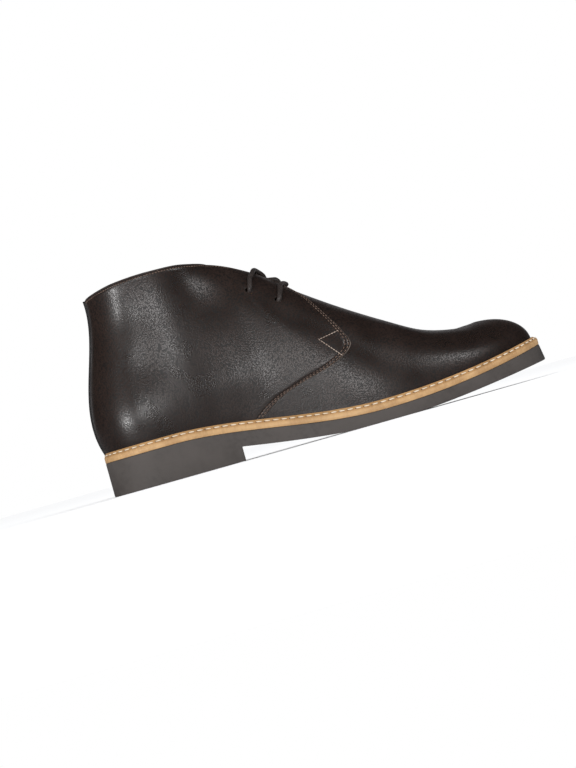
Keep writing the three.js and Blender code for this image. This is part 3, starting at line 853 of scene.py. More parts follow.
@dataclass
class Upper:
    """Vamp, two quarters, lining, piping and tongue, with their seams.

    Places are rows of the section table, counted from the heel, and ups are shares of the
    way from the welt to the collar or ridge. throat_back and throat_front are shares of the
    last's length, and the tack's corners are (share of length, share of shaft height).
    """

    last: Last
    wardrobe: Wardrobe
    seams: Seams = field(default_factory=Seams)
    step: float = 1.2 * MM
    quarter_wall: float = 2.2 * MM
    vamp_wall: float = 1.0 * MM
    wall: float = 1.8 * MM
    throat_width: float = 21 * MM
    throat_back: float = 0.330
    throat_front: float = 0.510
    throat_slit: float = 0.26
    throat_ups: tuple = (0.6, 1.0)
    throat_start: float = RIDGE - 1.5
    cut_and_highlight_band: float = 0.5 * MM
    calm_edge: float = 9 * MM
    seam_band: float = 6 * MM
    seam_grid: float = 0.45 * MM
    eyelet_bore: float = 4 * MM
    punch_depth: float = 14 * MM
    eyelets: tuple = ((9.25, 0.625), (9.85, 0.585))
    underlap: float = 0.55
    lining_drop: float = 1.02 * MM
    toe_lining_drop: float = 1.1 * MM
    tack: tuple = ((0.577, 0.482), (0.530, 0.452), (0.571, 0.332))
    inner_tack_shift: tuple = (-0.046, -0.028)
    tack_raise: float = 0.05 * MM
    tongue_wall: float = 1.9 * MM
    tongue_drop: float = 2.15 * MM
    tongue_span: tuple = (9.0, 12.0)
    tongue_reach: tuple = (0.25, 0.20)
    piping_half: float = 1.2 * MM
    piping_height: float = 1.5 * MM

    def front_edge(self, side: Side) -> np.ndarray:
        """The quarter's front edge as (place, up), from the welt to the throat."""
        rows = OUTER_EDGE if side is Side.OUTER else INNER_EDGE
        knots = []
        guess = (7.0, 0.02)
        for along, climb in rows[:-1]:
            x = along * self.last.length
            z = float(self.last.deck(np.array(x))) + climb * self.last.shaft_height
            if climb > 0:
                guess = tuple(self.last.find(side.value, x, z, guess))
                knots.append(guess)
        first = knots[0]
        slope = (knots[1][0] - first[0]) / (knots[1][1] - first[1])
        start = (first[0] - slope * (first[1] - FOOT_UP), FOOT_UP)
        knots = [start, *knots, self.facing_point(side, THROAT_PLACE)]
        return smooth_path(np.array(knots), 140)

    def facing_point(self, side: Side, place: float) -> tuple[float, float]:
        """The (place, up) where the throat's edge crosses a rib."""
        ups = np.linspace(*self.throat_ups, 200)
        points = self.last.rib(side.value, np.full_like(ups, place), ups)
        back = self.throat_back * self.last.length
        front = self.throat_front * self.last.length
        t = np.clip((points[:, 0] - back) / (front - back), 0, 1)
        half = self.throat_width / 2 * (1 - t) + self.throat_slit / 2 * self.throat_width * t
        room = np.abs(points[:, 1] - self.last.axis(points[:, 0])) - half
        inside = np.nonzero(room < 0)[0] if place > self.throat_start else []
        return (place, float(ups[inside[0]]) if len(inside) else 1.0)

    def top_edge(self, side: Side) -> np.ndarray:
        """The collar and then the facing as (place, up), from the back seam to the throat."""
        places = np.linspace(0, THROAT_PLACE, 268)
        knots = np.array([self.facing_point(side, p) for p in places])
        reach = 20
        window = np.hanning(2 * reach + 1)
        padded = np.pad(knots[:, 1], reach, mode="reflect", reflect_type="odd")
        knots[:, 1] = np.convolve(padded, window / window.sum(), "valid")
        return knots

    def quarter_domain(self, side: Side) -> np.ndarray:
        """The quarter's (place, up) grid, a patch between its four edges."""
        rows, columns = 130, 190
        s = np.linspace(0, 1, columns)
        t = np.linspace(0, 1, rows)
        right = self.even(side, self.front_edge(side), rows)
        top = self.even(side, self.top_edge(side), columns)
        left = np.stack([0 * t, FOOT_UP + (1 - FOOT_UP) * t], -1)
        low = np.stack([right[0, 0] * s, FOOT_UP + 0 * s], -1)
        a, b = s[None, :, None], t[:, None, None]
        sides = (1 - a) * left[:, None] + a * right[:, None]
        ends = (1 - b) * low[None] + b * top[None]
        corners = (
            (1 - a) * (1 - b) * left[0] + a * (1 - b) * right[0]
            + (1 - a) * b * left[-1] + a * b * right[-1]
        )
        return self.dense_edges(side, sides + ends - corners)

    def even(self, side: Side, curve: np.ndarray, count: int) -> np.ndarray:
        """A (place, up) curve resampled to even steps over the leather."""
        points = self.last.rib(side.value, curve[:, 0], curve[:, 1])
        lengths = arc_lengths(points)
        at = np.linspace(0, lengths[-1], count)
        return np.stack([np.interp(at, lengths, c) for c in curve.T], -1)

    def dense_edges(self, side: Side, domain: np.ndarray) -> np.ndarray:
        """Moves grid lines towards the front and top edges, where the seams run."""
        close = np.arange(0, self.seam_band, self.seam_grid)
        for turned in (False, True):
            grid = domain.transpose(1, 0, 2) if turned else domain
            count = grid.shape[1]
            points = self.last.rib(side.value, grid[..., 0], grid[..., 1])
            lines = []
            for line, path in zip(grid, points):
                lengths = arc_lengths(path)
                total = lengths[-1]
                near = close * min(1.0, total / (2 * self.seam_band))
                rest = np.linspace(0, total - near[-1], count - len(near) + 1)[:-1]
                at = np.concatenate([rest, (total - near)[::-1]])
                lines.append(np.stack([np.interp(at, lengths, c) for c in line.T], -1))
            domain = np.array(lines)
            domain = domain.transpose(1, 0, 2) if turned else domain
        return domain

    def edge_distance(self, side: Side, domain: np.ndarray, axis: int) -> np.ndarray:
        """Distance over the leather to the front edge (axis 1) or the top edge (axis 0)."""
        points = self.last.rib(side.value, domain[..., 0], domain[..., 1])
        steps = np.linalg.norm(np.diff(points, axis=axis), axis=-1)
        back = np.flip(np.cumsum(np.flip(steps, axis), axis), axis)
        zero = np.zeros_like(np.take(back, [0], axis))
        return np.concatenate([back, zero], axis)

    def sheet(
        self, name: str, side: Side, domain: np.ndarray, lift: np.ndarray, wall: float,
        cut_and_highlight_band: float = 0.0, finishes: tuple = (),
    ) -> bpy.types.Object:
        """A punched leather sheet laid over part of the last and given its thickness.

        Args:
            name: the piece's name.
            side: which side of the boot it covers.
            domain: its grid of (place, up).
            lift: the height of its face over the form at each grid point.
            wall: its thickness.
            cut_and_highlight_band: how far back from the front edge its faces take the second finish.
            finishes: its finishes, the second for the cut edge, paler with a painted highlight.

        Returns:
            The closed sheet.
        """
        points = self.last.skin(side.value, domain[..., 0], domain[..., 1], lift)
        # Faces near the front edge take the paler edge finish: raw edge colour plus a painted
        # highlight
        cut_and_highlight_faces = self.edge_distance(side, domain, 1)[1:, :-1] < cut_and_highlight_band
        if side is Side.INNER:
            points = points[:, ::-1]
            cut_and_highlight_faces = cut_and_highlight_faces[:, ::-1]
        piece = lay_grid(name, points)
        for finish in finishes:
            self.wardrobe.paint(piece, finish)
        piece.data.polygons.foreach_set("material_index", cut_and_highlight_faces.reshape(-1).astype(int))
        modify(piece, "SOLIDIFY", thickness=wall, offset=-1, use_even_offset=True)
        self.punch(piece, side)
        soften(piece, 35)
        return piece

    def wrap(
        self, name: str, points: np.ndarray, wall: float, even: bool = True
    ) -> bpy.types.Object:
        """A sheet that runs over the ridge from side to side, given its thickness."""
        piece = lay_grid(name, points)
        weld(piece, solid=False)
        modify(piece, "SOLIDIFY", thickness=wall, offset=-1, use_even_offset=even)
        soften(piece, 50)
        return piece

    def build(self) -> None:
        """Makes and dresses all of the upper."""
        for side in Side:
            domain = self.quarter_domain(side)
            self.build_quarter(side, domain)
            self.build_lining(side, domain)
            self.sew_quarter(side, domain)
        self.build_vamp()
        self.build_vamp_lining()
        self.build_tongue()
        self.build_piping()

    def punch(self, piece: bpy.types.Object, side: Side) -> None:
        """Punches the eyelets through a sheet."""
        for place, up in self.eyelets:
            base = self.last.skin(side.value, np.array(place), np.array(up), 0.0)
            normal = Vector(self.last.normal(side.value, np.array(place), np.array(up)))
            deselect()
            bpy.ops.mesh.primitive_cylinder_add(
                vertices=28, radius=self.eyelet_bore / 2, depth=self.punch_depth,
                location=Vector(base),
                rotation=normal.to_track_quat("Z", "Y").to_euler(),
            )
            punch = bpy.context.object
            modify(piece, "BOOLEAN", operation="DIFFERENCE", object=punch, solver="EXACT")
            bpy.data.objects.remove(punch)

    def swelling(self, grid: np.ndarray) -> np.ndarray:
        """All swells together at each (place, up) of a grid."""
        return sum(swell.lift(grid[..., 0], grid[..., 1]) for swell in SWELLS)

    def quarter_lift(self, side: Side, domain: np.ndarray) -> np.ndarray:
        """Height of the quarter's face over the form, with its swells and pressed seams."""
        front = self.edge_distance(side, domain, 1)
        top = self.edge_distance(side, domain, 0)
        low = self.seams.relief(front, self.seams.front_rows)
        low = np.maximum(low, self.seams.relief(top, (self.seams.collar_row,)))
        inland = smooth(np.minimum(front, top) / self.calm_edge)
        return self.step - low + self.swelling(domain) * inland

    def build_quarter(self, side: Side, domain: np.ndarray) -> None:
        """One quarter with its rounded, pressed and punched edges; the cut edge is paler, partly its
        own colour and partly a painted highlight.
        """
        piece = self.sheet(
            f"quarter_{side.word}", side, domain, self.quarter_lift(side, domain),
            self.quarter_wall, self.cut_and_highlight_band, (UPPER_LEATHER, CUT_EDGE_HIGHLIGHT_LEATHER),
        )
        self.wardrobe.ride(piece, "upper", "upper")

    def build_lining(self, side: Side, domain: np.ndarray) -> None:
        """The lining inside one quarter."""
        thin = domain[::2, ::2]
        lift = np.full(thin.shape[:2], -self.lining_drop)
        piece = self.sheet(
            f"lining_{side.word}", side, thin, lift, self.wall - self.lining_drop,
            finishes=(LINING_LEATHER,),
        )
        self.wardrobe.ride(piece, "footbed", "upper")

    def inset(
        self, side: Side, domain: np.ndarray, axis: int, distance: float
    ) -> tuple[np.ndarray, np.ndarray]:
        """A seam along an edge.

        Args:
            side: which side of the boot it is on.
            domain: the quarter's grid of (place, up).
            axis: 1 for the front edge, 0 for the top edge.
            distance: how far the seam lies from that edge.

        Returns:
            The seam's path, and the leather's normals along it.
        """
        grid = domain if axis == 1 else domain.transpose(1, 0, 2)
        reach = self.edge_distance(side, domain, axis)
        reach = reach if axis == 1 else reach.T
        seam = np.array([
            [np.interp(distance, d[::-1], c[::-1]) for c in line.T] for line, d in zip(grid, reach)
        ])
        lift = self.step - self.seams.press
        path = self.last.skin(side.value, seam[:, 0], seam[:, 1], lift)
        return path, self.last.normal(side.value, seam[:, 0], seam[:, 1])

    def sew_quarter(self, side: Side, domain: np.ndarray) -> None:
        """All seams of one quarter; each stops short of the edges that it meets."""
        runs = [
            (UPPER_STITCH, f"front_seam_{side.word}_{k + 1}", 1, row, 3, 1 + 2 * k)
            for k, row in enumerate(self.seams.front_rows)
        ]
        runs.append((COLLAR_STITCH, f"collar_seam_{side.word}", 0, self.seams.collar_row, 2, 6))
        for stitch, name, axis, row, skip, leave in runs:
            path, normals = self.inset(side, domain, axis, row)
            keep = slice(skip, len(path) - leave)
            piece = stitch.sew(name, path[keep], normals[keep])
            self.wardrobe.dress(piece, UPPER_THREAD, "upper", "upper")
        self.sew_tack(side, domain)

    def sew_tack(self, side: Side, domain: np.ndarray) -> None:
        """The stitched triangle that holds the quarter's point."""
        shift = np.zeros(2) if side is Side.OUTER else np.array(self.inner_tack_shift)
        guess = (11.0, 0.5)
        path = []
        for a, b in zip(np.array(self.tack[:-1]), np.array(self.tack[1:])):
            for t in np.linspace(0, 1, 12):
                along, climb = a + (b - a) * t + shift
                x = along * self.last.length
                z = climb * self.last.shaft_height + float(self.last.deck(np.array(x)))
                path.append(self.last.find(side.value, x, z, guess))
        seam = np.array(path)
        lift = self.quarter_lift(side, domain)
        place_weight = 0.2
        miss = (seam[:, None, None] - domain) * (place_weight, 1.0)
        nearest = np.sum(miss**2, -1).reshape(len(seam), -1).argmin(1)
        high = np.maximum(lift.reshape(-1)[nearest], self.step) + self.tack_raise
        points = self.last.skin(side.value, seam[:, 0], seam[:, 1], high)
        normals = self.last.normal(side.value, seam[:, 0], seam[:, 1])
        piece = TACK_STITCH.sew(f"tack_{side.word}", points, normals)
        self.wardrobe.dress(piece, TACK_THREAD, "upper", "upper")

    def vamp_domain(self, rows: int, columns: int) -> tuple[np.ndarray, np.ndarray]:
        """(side, place, up) of the vamp, from one under-edge over the toe to the other."""
        ups = FOOT_UP + (1 - FOOT_UP) * np.linspace(0, 1, rows)
        last_start = THROAT_PLACE - 0.06
        halves = []
        for side in Side:
            edge = self.front_edge(side)
            start = np.interp(ups, edge[:, 1], edge[:, 0]) - self.underlap * (1 - ups**4)
            start = np.minimum(start, last_start)
            start[-1] = last_start
            s = np.linspace(0, 1, columns)[None, :]
            halves.append(start[:, None] + (TOE - start[:, None]) * s)
        place = np.concatenate([halves[0], halves[1][:, -2::-1]], 1)
        side = np.concatenate([-np.ones(columns), np.ones(columns - 1)])
        grid = np.stack([place, np.broadcast_to(ups[:, None], place.shape)], -1)
        return np.broadcast_to(side, place.shape), grid

    def build_vamp(self) -> None:
        """The vamp in one piece over the toe."""
        side, grid = self.vamp_domain(90, 130)
        points = self.last.skin(side, grid[..., 0], grid[..., 1], self.swelling(grid))
        piece = self.wrap("vamp", points, self.vamp_wall)
        self.wardrobe.dress(piece, UPPER_LEATHER, "upper", "upper")

    def build_vamp_lining(self) -> None:
        """The lining inside the vamp."""
        side, grid = self.vamp_domain(46, 66)
        points = self.last.skin(side, grid[..., 0], grid[..., 1], -self.toe_lining_drop)
        piece = self.wrap("vamp_lining", points, self.wall - self.vamp_wall, even=False)
        self.wardrobe.dress(piece, LINING_LEATHER, "footbed", "upper")

    def build_tongue(self) -> None:
        """The tongue under the facings, with a stitched top edge."""
        rows, columns, seam_row = 60, 61, 4
        low, high = self.tongue_span
        places = low + (high - low) * np.linspace(0, 1, rows) ** 1.1
        w = np.linspace(-1, 1, columns)
        place, share = np.meshgrid(places, np.abs(w), indexing="ij")
        side = np.broadcast_to(np.where(w < 0, -1.0, 1.0), place.shape)
        start, end = self.tongue_reach
        up = 1 - share * (start + (end - start) * (place - low) / (high - low))
        points = self.last.skin(side, place, up, -self.tongue_drop)
        piece = self.wrap("tongue_leather", points[::-1], self.tongue_wall)
        self.wardrobe.dress(piece, TONGUE_LEATHER, "tongue", "tongue")
        normals = self.last.normal(side[seam_row], place[seam_row], up[seam_row])
        seam = COLLAR_STITCH.sew("tongue_seam", points[seam_row], normals)
        self.wardrobe.dress(seam, UPPER_THREAD, "tongue", "tongue")

    def build_piping(self) -> None:
        """The black strip on the back seam, with a rounded face."""
        rings, corners = 60, 9
        ups = np.linspace(0.02, 1.0, rings)
        base = self.last.skin(-1.0, np.zeros(rings), ups, self.step + HAIR)
        normal = self.last.normal(-1.0, np.zeros(rings), ups)
        across = np.array([0, self.piping_half, 0])
        lines = [
            base + normal * (self.piping_height * math.sin(a)) + across * math.cos(a)
            for a in np.linspace(0, math.pi, corners)
        ]
        piece = roll("piping", np.stack(lines, 1))
        soften(piece, 60)
        self.wardrobe.dress(piece, PIPING_LEATHER, "piping", "back_piping")


# The sole


@dataclass
class Sole:
    """Outsole, midsole, welt with its seam, and footbed.

    The breast, the arch's and panel's ends and fore_span are shares of the last's length,
    and sizes across are shares of the ball's width. The welt's shares run from the wall at
    0 to its edge at 1.
    """

    last: Last
    wardrobe: Wardrobe
    reach: float = 4.3 * MM
    welt_inset: float = 0.15 * MM
    welt_edge: float = 0.6 * MM
    welt_rise: float = 2.9 * MM
    flare: float = 1.5 * MM
    footbed: float = 3 * MM
    arch_height: float = 9.5 * MM
    arch_end: float = 0.55
    arch_back: float = 0.1
    arch_power: float = 1.3
    panel_depth: float = 0.8 * MM
    breast: tuple = ((0.302, -0.40), (0.280, -0.05), (0.278, 0.26), (0.235, 0.39))
    groove_width: float = 0.9 * MM
    groove_depth: float = 0.6 * MM
    groove_block: float = 3 * MM
    rib_pitch: float = 2.6 * MM
    moon_back: float = 4 * MM
    moon_length: float = 44 * MM
    moon_half: float = 27 * MM
    line_side: float = 11 * MM
    line_span: tuple = (50 * MM, 76 * MM)
    fore_span: tuple = (0.585, 0.955)
    border_inset: float = 6 * MM
    border_start: float = 10.1
    panel_half: float = 0.2
    panel_span: tuple = (0.315, 0.52)
    panel_shift: float = -0.03
    welt_bevel: float = 0.5 * MM
    welt_drop: float = 0.25 * MM
    welt_groove: float = 0.25 * MM
    welt_groove_span: tuple = (0.94, 0.86, 0.62, 0.52)
    welt_round: float = 0.1 * MM
    welt_tuck: float = 0.1 * MM
    wall_step: float = 1.2 * MM
    seam_share: float = 0.74
    columns: int = 360

    def build(self) -> None:
        """Makes and dresses all of the sole."""
        self.build_midsole()
        self.build_welt()
        self.build_footbed()
        self.build_outsole()

    def plate(self, name: str, levels: list[tuple]) -> bpy.types.Object:
        """A plate with the shoe's outline.

        Args:
            name: the piece's name.
            levels: (reach, flare at the toe, height function, shift upwards) for each ring,
                from the top down.

        Returns:
            The closed piece.
        """
        count = self.columns
        places = around(count)
        share = self.last.outline(places, 0.0)[:, 0] / self.last.length
        rings = []
        for reach, flare, height, shift in levels:
            ring = self.last.outline(places, reach + flare * share * share)
            ring[:, 2] = height(ring[:, 0]) + shift
            rings.append(ring + self.last.place)
        rings = np.array(rings)
        stations = np.arange(count // 2 + 1)
        outer, inner = rings[:, stations], rings[::-1, -stations % count]
        piece = roll(name, np.concatenate([outer, inner]).transpose(1, 0, 2))
        soften(piece, 50)
        return piece

    def build_midsole(self) -> None:
        """The midsole, its edge slightly rounded."""
        seat, deck = self.last.seat, self.last.deck
        soft = 0.15 * MM
        piece = self.plate("runner", [
            (self.reach - soft, 0, deck, 0), (self.reach, 0, deck, -soft),
            (self.reach, 0, seat, soft), (self.reach - soft, 0, seat, 0),
        ])
        self.wardrobe.dress(piece, MIDSOLE_EDGE, "midsole", "midsole")

    def build_footbed(self) -> None:
        """The footbed inside the upper."""
        inside, soft = -2.4 * MM, 0.8 * MM
        deck, low = self.last.deck, self.last.gap
        high = low + self.footbed
        piece = self.plate("sock", [
            (inside - soft, 0, deck, high), (inside, 0, deck, high - soft), (inside, 0, deck, low),
        ])
        self.wardrobe.dress(piece, LINING_LEATHER, "footbed", "insole")

    def welt_ring(self, reach: np.ndarray | float, height: float) -> np.ndarray:
        """Points around the outline at a reach, and at a height over the midsole."""
        ring = self.last.outline(around(self.columns), reach)
        ring[:, 2] = self.last.deck(ring[:, 0]) + height
        return ring + self.last.place

    def upper_bulge(self, level: np.ndarray) -> np.ndarray:
        """How far the upper stands out over its foot where the welt meets it."""
        places = around(self.columns)
        foot = self.last.outline(places, 0.0)
        side, row = side_and_row(places)
        ups = np.full(self.columns, 0.03)
        rounds = 6
        for _ in range(rounds):
            wall = self.last.rib(side, row, ups)
            ups = ups * self.welt_rise / np.maximum(wall[:, 2] - foot[:, 2], 0.1 * MM)
        wall = self.last.rib(side, row, ups)
        return np.maximum(np.sum((wall - foot) * level, 1), 0)

    def build_welt(self) -> None:
        """The welt around the upper, its top sloping outwards, and its seam, with dark beads as
        painted shade of the holes between stitches.
        """
        places = around(self.columns)
        level = unit(self.last.outline(places, 1.0) - self.last.outline(places, 0.0))
        inner = self.wall_step + self.last.gap
        outer = self.reach - self.welt_inset
        high = inner + self.upper_bulge(level) - self.welt_tuck
        edge = self.welt_edge + self.welt_drop

        def face(share: float, sunk: float = 0.0) -> np.ndarray:
            """Points on the sloping top, from the wall at 0 to the edge at 1."""
            reach = high + (outer - self.welt_bevel - high) * share
            return self.welt_ring(reach, self.welt_rise + (edge - self.welt_rise) * share - sunk)

        outside, deep_outside, deep_inside, inside = self.welt_groove_span
        rings = [
            self.welt_ring(inner, HAIR), self.welt_ring(outer, HAIR),
            self.welt_ring(outer, self.welt_edge - self.welt_round), face(1.0), face(outside),
            face(deep_outside, self.welt_groove), face(deep_inside, self.welt_groove),
            face(inside), face(0.0),
        ]
        piece = roll("welt_strip", np.stack(rings, 1), ring=True)
        soften(piece, 40)
        self.wardrobe.dress(piece, WELT_EDGE, "welt", "welt")
        seam = face(self.seam_share, self.welt_groove)
        normal = unit(level * 0.8 + np.array([0, 0, 1.0]))
        half_pitch = int(0.5 * WELT_SHADE_BEAD.pitch / arc_lengths(seam)[-1] * len(seam))
        # The thread, then dark beads half a pitch on that paint the shade of the holes between
        # stitches
        for stitch, finish, name, start in (
            (WELT_STITCH, WELT_THREAD, "welt_seam", 0),
            (WELT_SHADE_BEAD, HOLE_SHADE, "welt_hole_shade", half_pitch),
        ):
            order = np.roll(np.arange(len(seam)), start)
            order = np.append(order, order[0])
            run = stitch.sew(name, seam[order], normal[order])
            self.wardrobe.dress(run, finish, "welt", "welt")

    def cutter(self, outline: list[tuple]) -> bpy.types.Object:
        """A straight block on a plan outline, far past the sole above and below."""
        ends = [[(x, y, z) for x, y in outline] for z in (-100 * MM, 100 * MM)]
        return roll("cutter", np.array(ends) + self.last.place)

    def under_arch(self, raised: float) -> bpy.types.Object:
        """The space under the arch, raised by a height, as a closed block."""
        start = self.breast[0][0] * self.last.length
        end = self.arch_end * self.last.length
        t = np.linspace(0, 1, 24)
        curve = self.arch_height * (1 - t) ** self.arch_power + raised
        xs = [self.arch_back * self.last.length, *(start + t * (end - start))]
        zs = [self.arch_height + raised, *curve]
        wide = self.last.ball_width
        profile = [(xs[0], -wide), *zip(xs, zs), (xs[-1], -wide)]
        ends = [[(x, y, z) for x, z in profile] for y in (-wide, wide)]
        return roll("arch", np.array(ends) + self.last.place)

    def cut(self, piece: bpy.types.Object, tool: bpy.types.Object, operation: str) -> None:
        """Cuts a piece with a tool, which is used up."""
        modify(piece, "BOOLEAN", operation=operation, object=tool, solver="EXACT")
        bpy.data.objects.remove(tool)

    def build_outsole(self) -> None:
        """The rubber unit: heel, breast with its cut corner, arch, panel and tread."""
        seat, tread = self.last.seat, self.last.tread
        soft = 0.5 * MM
        piece = self.plate("rubber_unit", [
            (self.reach - soft, 0, seat, -HAIR), (self.reach, 0, seat, -HAIR - soft),
            (self.reach, self.flare, tread, 2 * soft),
            (self.reach - 0.3 * soft, self.flare, tread, 0.4 * soft),
            (self.reach - soft, self.flare, tread, 0),
        ])
        length, width = self.last.length, self.last.ball_width
        line = [(a * length, b * width) for a, b in self.breast]
        ahead = [(line[0][0], -width), *line, (line[-1][0], width), (length, width), (length, -width)]
        arch = self.under_arch(0.0)
        self.cut(arch, self.cutter(ahead), "INTERSECT")
        half = self.panel_half * width
        back, front = (share * length for share in self.panel_span)
        angles = np.linspace(-math.pi / 2, math.pi / 2, 20)
        panel = [(back, half), (back, -half)]
        panel += [(front - half + half * math.cos(a), half * math.sin(a)) for a in angles]
        panel = [(x, y + self.panel_shift * width) for x, y in panel]
        recess = self.under_arch(self.panel_depth)
        self.cut(recess, self.cutter(panel), "INTERSECT")
        for tool in (arch, recess, self.grooves(), self.border()):
            self.cut(piece, tool, "DIFFERENCE")
        soften(piece, 35)
        self.wardrobe.dress(piece, SOLE_RUBBER, "rubber", "outsole")

    def tread_width(self, x: float, inset: float) -> tuple[float, float]:
        """Where the tread ends on the outer and the inner side at x, inside a border."""
        places = np.linspace(0, TOE, 120)
        rims = (self.last.outline(p, self.reach - inset) for p in (places, 2 * TOE - places))
        return tuple(float(np.interp(x, rim[:, 0], rim[:, 1])) for rim in rims)

    def groove(self, x: tuple[float, float], y: tuple[float, float]) -> bpy.types.Object:
        """A straight block that cuts one groove of the tread between these x and y."""
        middle = (x[0] + x[1]) / 2
        top = float(self.last.tread(np.array(middle))) + self.groove_depth
        centre = np.array([middle, (y[0] + y[1]) / 2, top - self.groove_block / 2])
        bpy.ops.mesh.primitive_cube_add(
            size=1, location=Vector(centre + self.last.place),
            scale=(x[1] - x[0], y[1] - y[0], self.groove_block),
        )
        return bpy.context.object

    def grooves(self) -> bpy.types.Object:
        """All straight grooves of the tread as one cutter: heel's half-moon, lines, forefoot."""
        length, half = self.last.length, self.groove_width / 2
        blocks = []
        back, moon = self.moon_back, self.moon_length
        for x in np.arange(back + self.rib_pitch, back + moon - half, self.rib_pitch):
            low, high = self.tread_width(x, self.border_inset)
            room = self.moon_half * math.sqrt(1 - ((x - back) / moon) ** 2)
            middle = float(self.last.axis(x))
            sides = (max(low, middle - room), min(high, middle + room))
            blocks.append(self.groove((x - half, x + half), sides))
        for y in (-self.line_side, self.line_side):
            blocks.append(self.groove(self.line_span, (y - half, y + half)))
        front = np.arange(self.fore_span[0] * length, self.fore_span[1] * length, self.rib_pitch)
        for x in front:
            sides = self.tread_width(x, self.border_inset + 3 * self.groove_width)
            blocks.append(self.groove((x - half, x + half), sides))
        deselect()
        for block in blocks:
            block.select_set(True)
        bpy.context.view_layer.objects.active = blocks[0]
        bpy.ops.object.join()
        return bpy.context.object

    def border(self) -> bpy.types.Object:
        """The cutter of the groove that runs around the forefoot, inside its edge."""
        places = np.linspace(self.border_start, 2 * TOE - self.border_start, 150)
        rings = []
        for inset, top in ((0, 0), (0, 1), (1, 1), (1, 0)):
            reach = self.reach - self.border_inset - inset * self.groove_width
            ring = self.last.outline(places, reach)
            high = self.last.tread(ring[:, 0]) + self.groove_depth
            ring[:, 2] = high - (1 - top) * self.groove_block
            rings.append(ring + self.last.place)
        return roll("border", np.stack(rings, 1))


# The laces


@dataclass
class Laces:
    """The lace through the four eyelets: a bar below, and two strands that cross.

    Each knot is side, place, up, and height in lace diameters over the leather. The bar's
    other half mirrors the first, and a strand ends over or under the one that it crosses.
    """

    last: Last
    wardrobe: Wardrobe
    diameter: float = 3.3 * MM
    braid: float = 2.4 * MM
    clearance: float = 0.1 * MM
    step: float = 1.2 * MM
    half_bar: tuple = (
        (-1, 9.84, 0.580, -1.6), (-1, 9.85, 0.576, -0.5), (-1, 9.93, 0.596, 0.0),
        (-1, 10.16, 0.665, 0.05), (-1, 10.36, 0.740, -0.1), (-1, 10.57, 0.820, -0.2),
        (-1, 10.72, 0.900, -0.25), (-1, 10.82, 0.970, -0.25),
    )
    strand: tuple = (
        (-1, 9.25, 0.620, -1.6), (-1, 9.27, 0.618, -0.5), (-1, 9.35, 0.640, 0.0),
        (-1, 9.57, 0.715, 0.1), (-1, 9.78, 0.785, 0.0), (-1, 9.95, 0.865, 0.0),
        (-1, 10.04, 0.930, 0.0),
    )
    over: tuple = (
        (-1, 10.10, 0.985, 0.05), (1, 10.16, 0.955, 0.05), (1, 10.22, 0.900, 0.0),
        (1, 10.26, 0.880, -0.5), (1, 10.27, 0.878, -1.2),
    )
    under: tuple = (
        (-1, 10.12, 0.985, -0.95), (1, 10.38, 0.985, -1.0), (1, 10.50, 0.965, -0.55),
        (1, 10.58, 0.955, -0.2), (1, 10.66, 0.960, -0.4), (1, 10.72, 0.970, -1.0),
    )

    def tube(self, name: str, knots: tuple, flip: int) -> bpy.types.Object:
        """A round lace along knots.

        Args:
            name: the piece's name.
            knots: the lace's knots.
            flip: -1 to run on the other side of the boot.

        Returns:
            The lace as a closed tube.
        """
        rows = np.array(knots, float)
        over = self.step + self.diameter / 2 + self.clearance + rows[:, 3] * self.diameter
        points = self.last.skin(rows[:, 0] * flip, rows[:, 1], rows[:, 2], over)
        path = smooth_path(points, 220)
        path = along_path(path, np.linspace(0, arc_lengths(path)[-1], 160))
        return self.sweep(name, path)

    def sweep(self, name: str, path: np.ndarray) -> bpy.types.Object:
        """A round section carried along a path without twisting."""
        corners = 16
        angles = np.arange(corners) * 2 * math.pi / corners
        run = unit(np.gradient(path, axis=0))
        side = unit(np.cross(run[0], [0, 0, 1.0]))
        rings = []
        for point, ahead in zip(path, run):
            side = unit(side - ahead * np.dot(side, ahead))
            up = np.cross(side, ahead)
            ring = np.outer(np.cos(angles), side) + np.outer(np.sin(angles), up)
            rings.append(point + ring * self.diameter / 2)
        along = arc_lengths(path) / self.braid
        uv = np.meshgrid(np.linspace(0, 1, corners + 1), along)
        piece = roll(name, np.array(rings), uv=np.stack(uv, -1))
        soften(piece, 60)
        return piece

    def build(self) -> None:
        """Makes and dresses the bar and both strands."""
        back = tuple((-side, *rest) for side, *rest in reversed(self.half_bar))
        runs = [("lace_across", self.half_bar + back, 1, "lace_bar")]
        for side, end in ((Side.OUTER, self.over), (Side.INNER, self.under)):
            strand = self.strand + end
            runs.append((f"lace_from_{side.word}", strand, -side.value, "lace_crossing"))
        for name, knots, flip, node in runs:
            self.wardrobe.dress(self.tube(name, knots, flip), LACE_CORD, "lace", node)


# Camera, light and floor


@dataclass(frozen=True)
class Lamp:
    """A square lamp: where it hangs, what it lights, its side and its power in watts."""

    name: str
    place: tuple
    aim: tuple
    size: float
    power: float

    def hang(self) -> None:
        """Puts the lamp into the scene."""
        data = bpy.data.lights.new(self.name, "AREA")
        data.size = self.size
        data.energy = self.power
        lamp = bpy.data.objects.new(self.name, data)
        bpy.context.collection.objects.link(lamp)
        lamp.location = Vector(self.place)
        ahead = Vector(self.aim) - Vector(self.place)
        lamp.rotation_euler = ahead.to_track_quat("-Z", "Y").to_euler()


# Each lamp is where the leather would mirror it towards the camera at a highlight of the photo
LAMPS = (
    Lamp("key", (-0.34, -1.95, 0.47), (-0.08, 0.0, 0.08), 0.12, 2.5),
    Lamp("low", (-0.45, -1.70, 0.16), (-0.12, 0.0, 0.05), 0.08, 3.4),
    Lamp("heel", (-1.28, -1.40, 0.03), (-0.12, 0.0, 0.12), 0.20, 14.0),
    Lamp("toe", (0.98, -1.18, 0.98), (0.10, 0.0, 0.03), 0.22, 4.5),
)


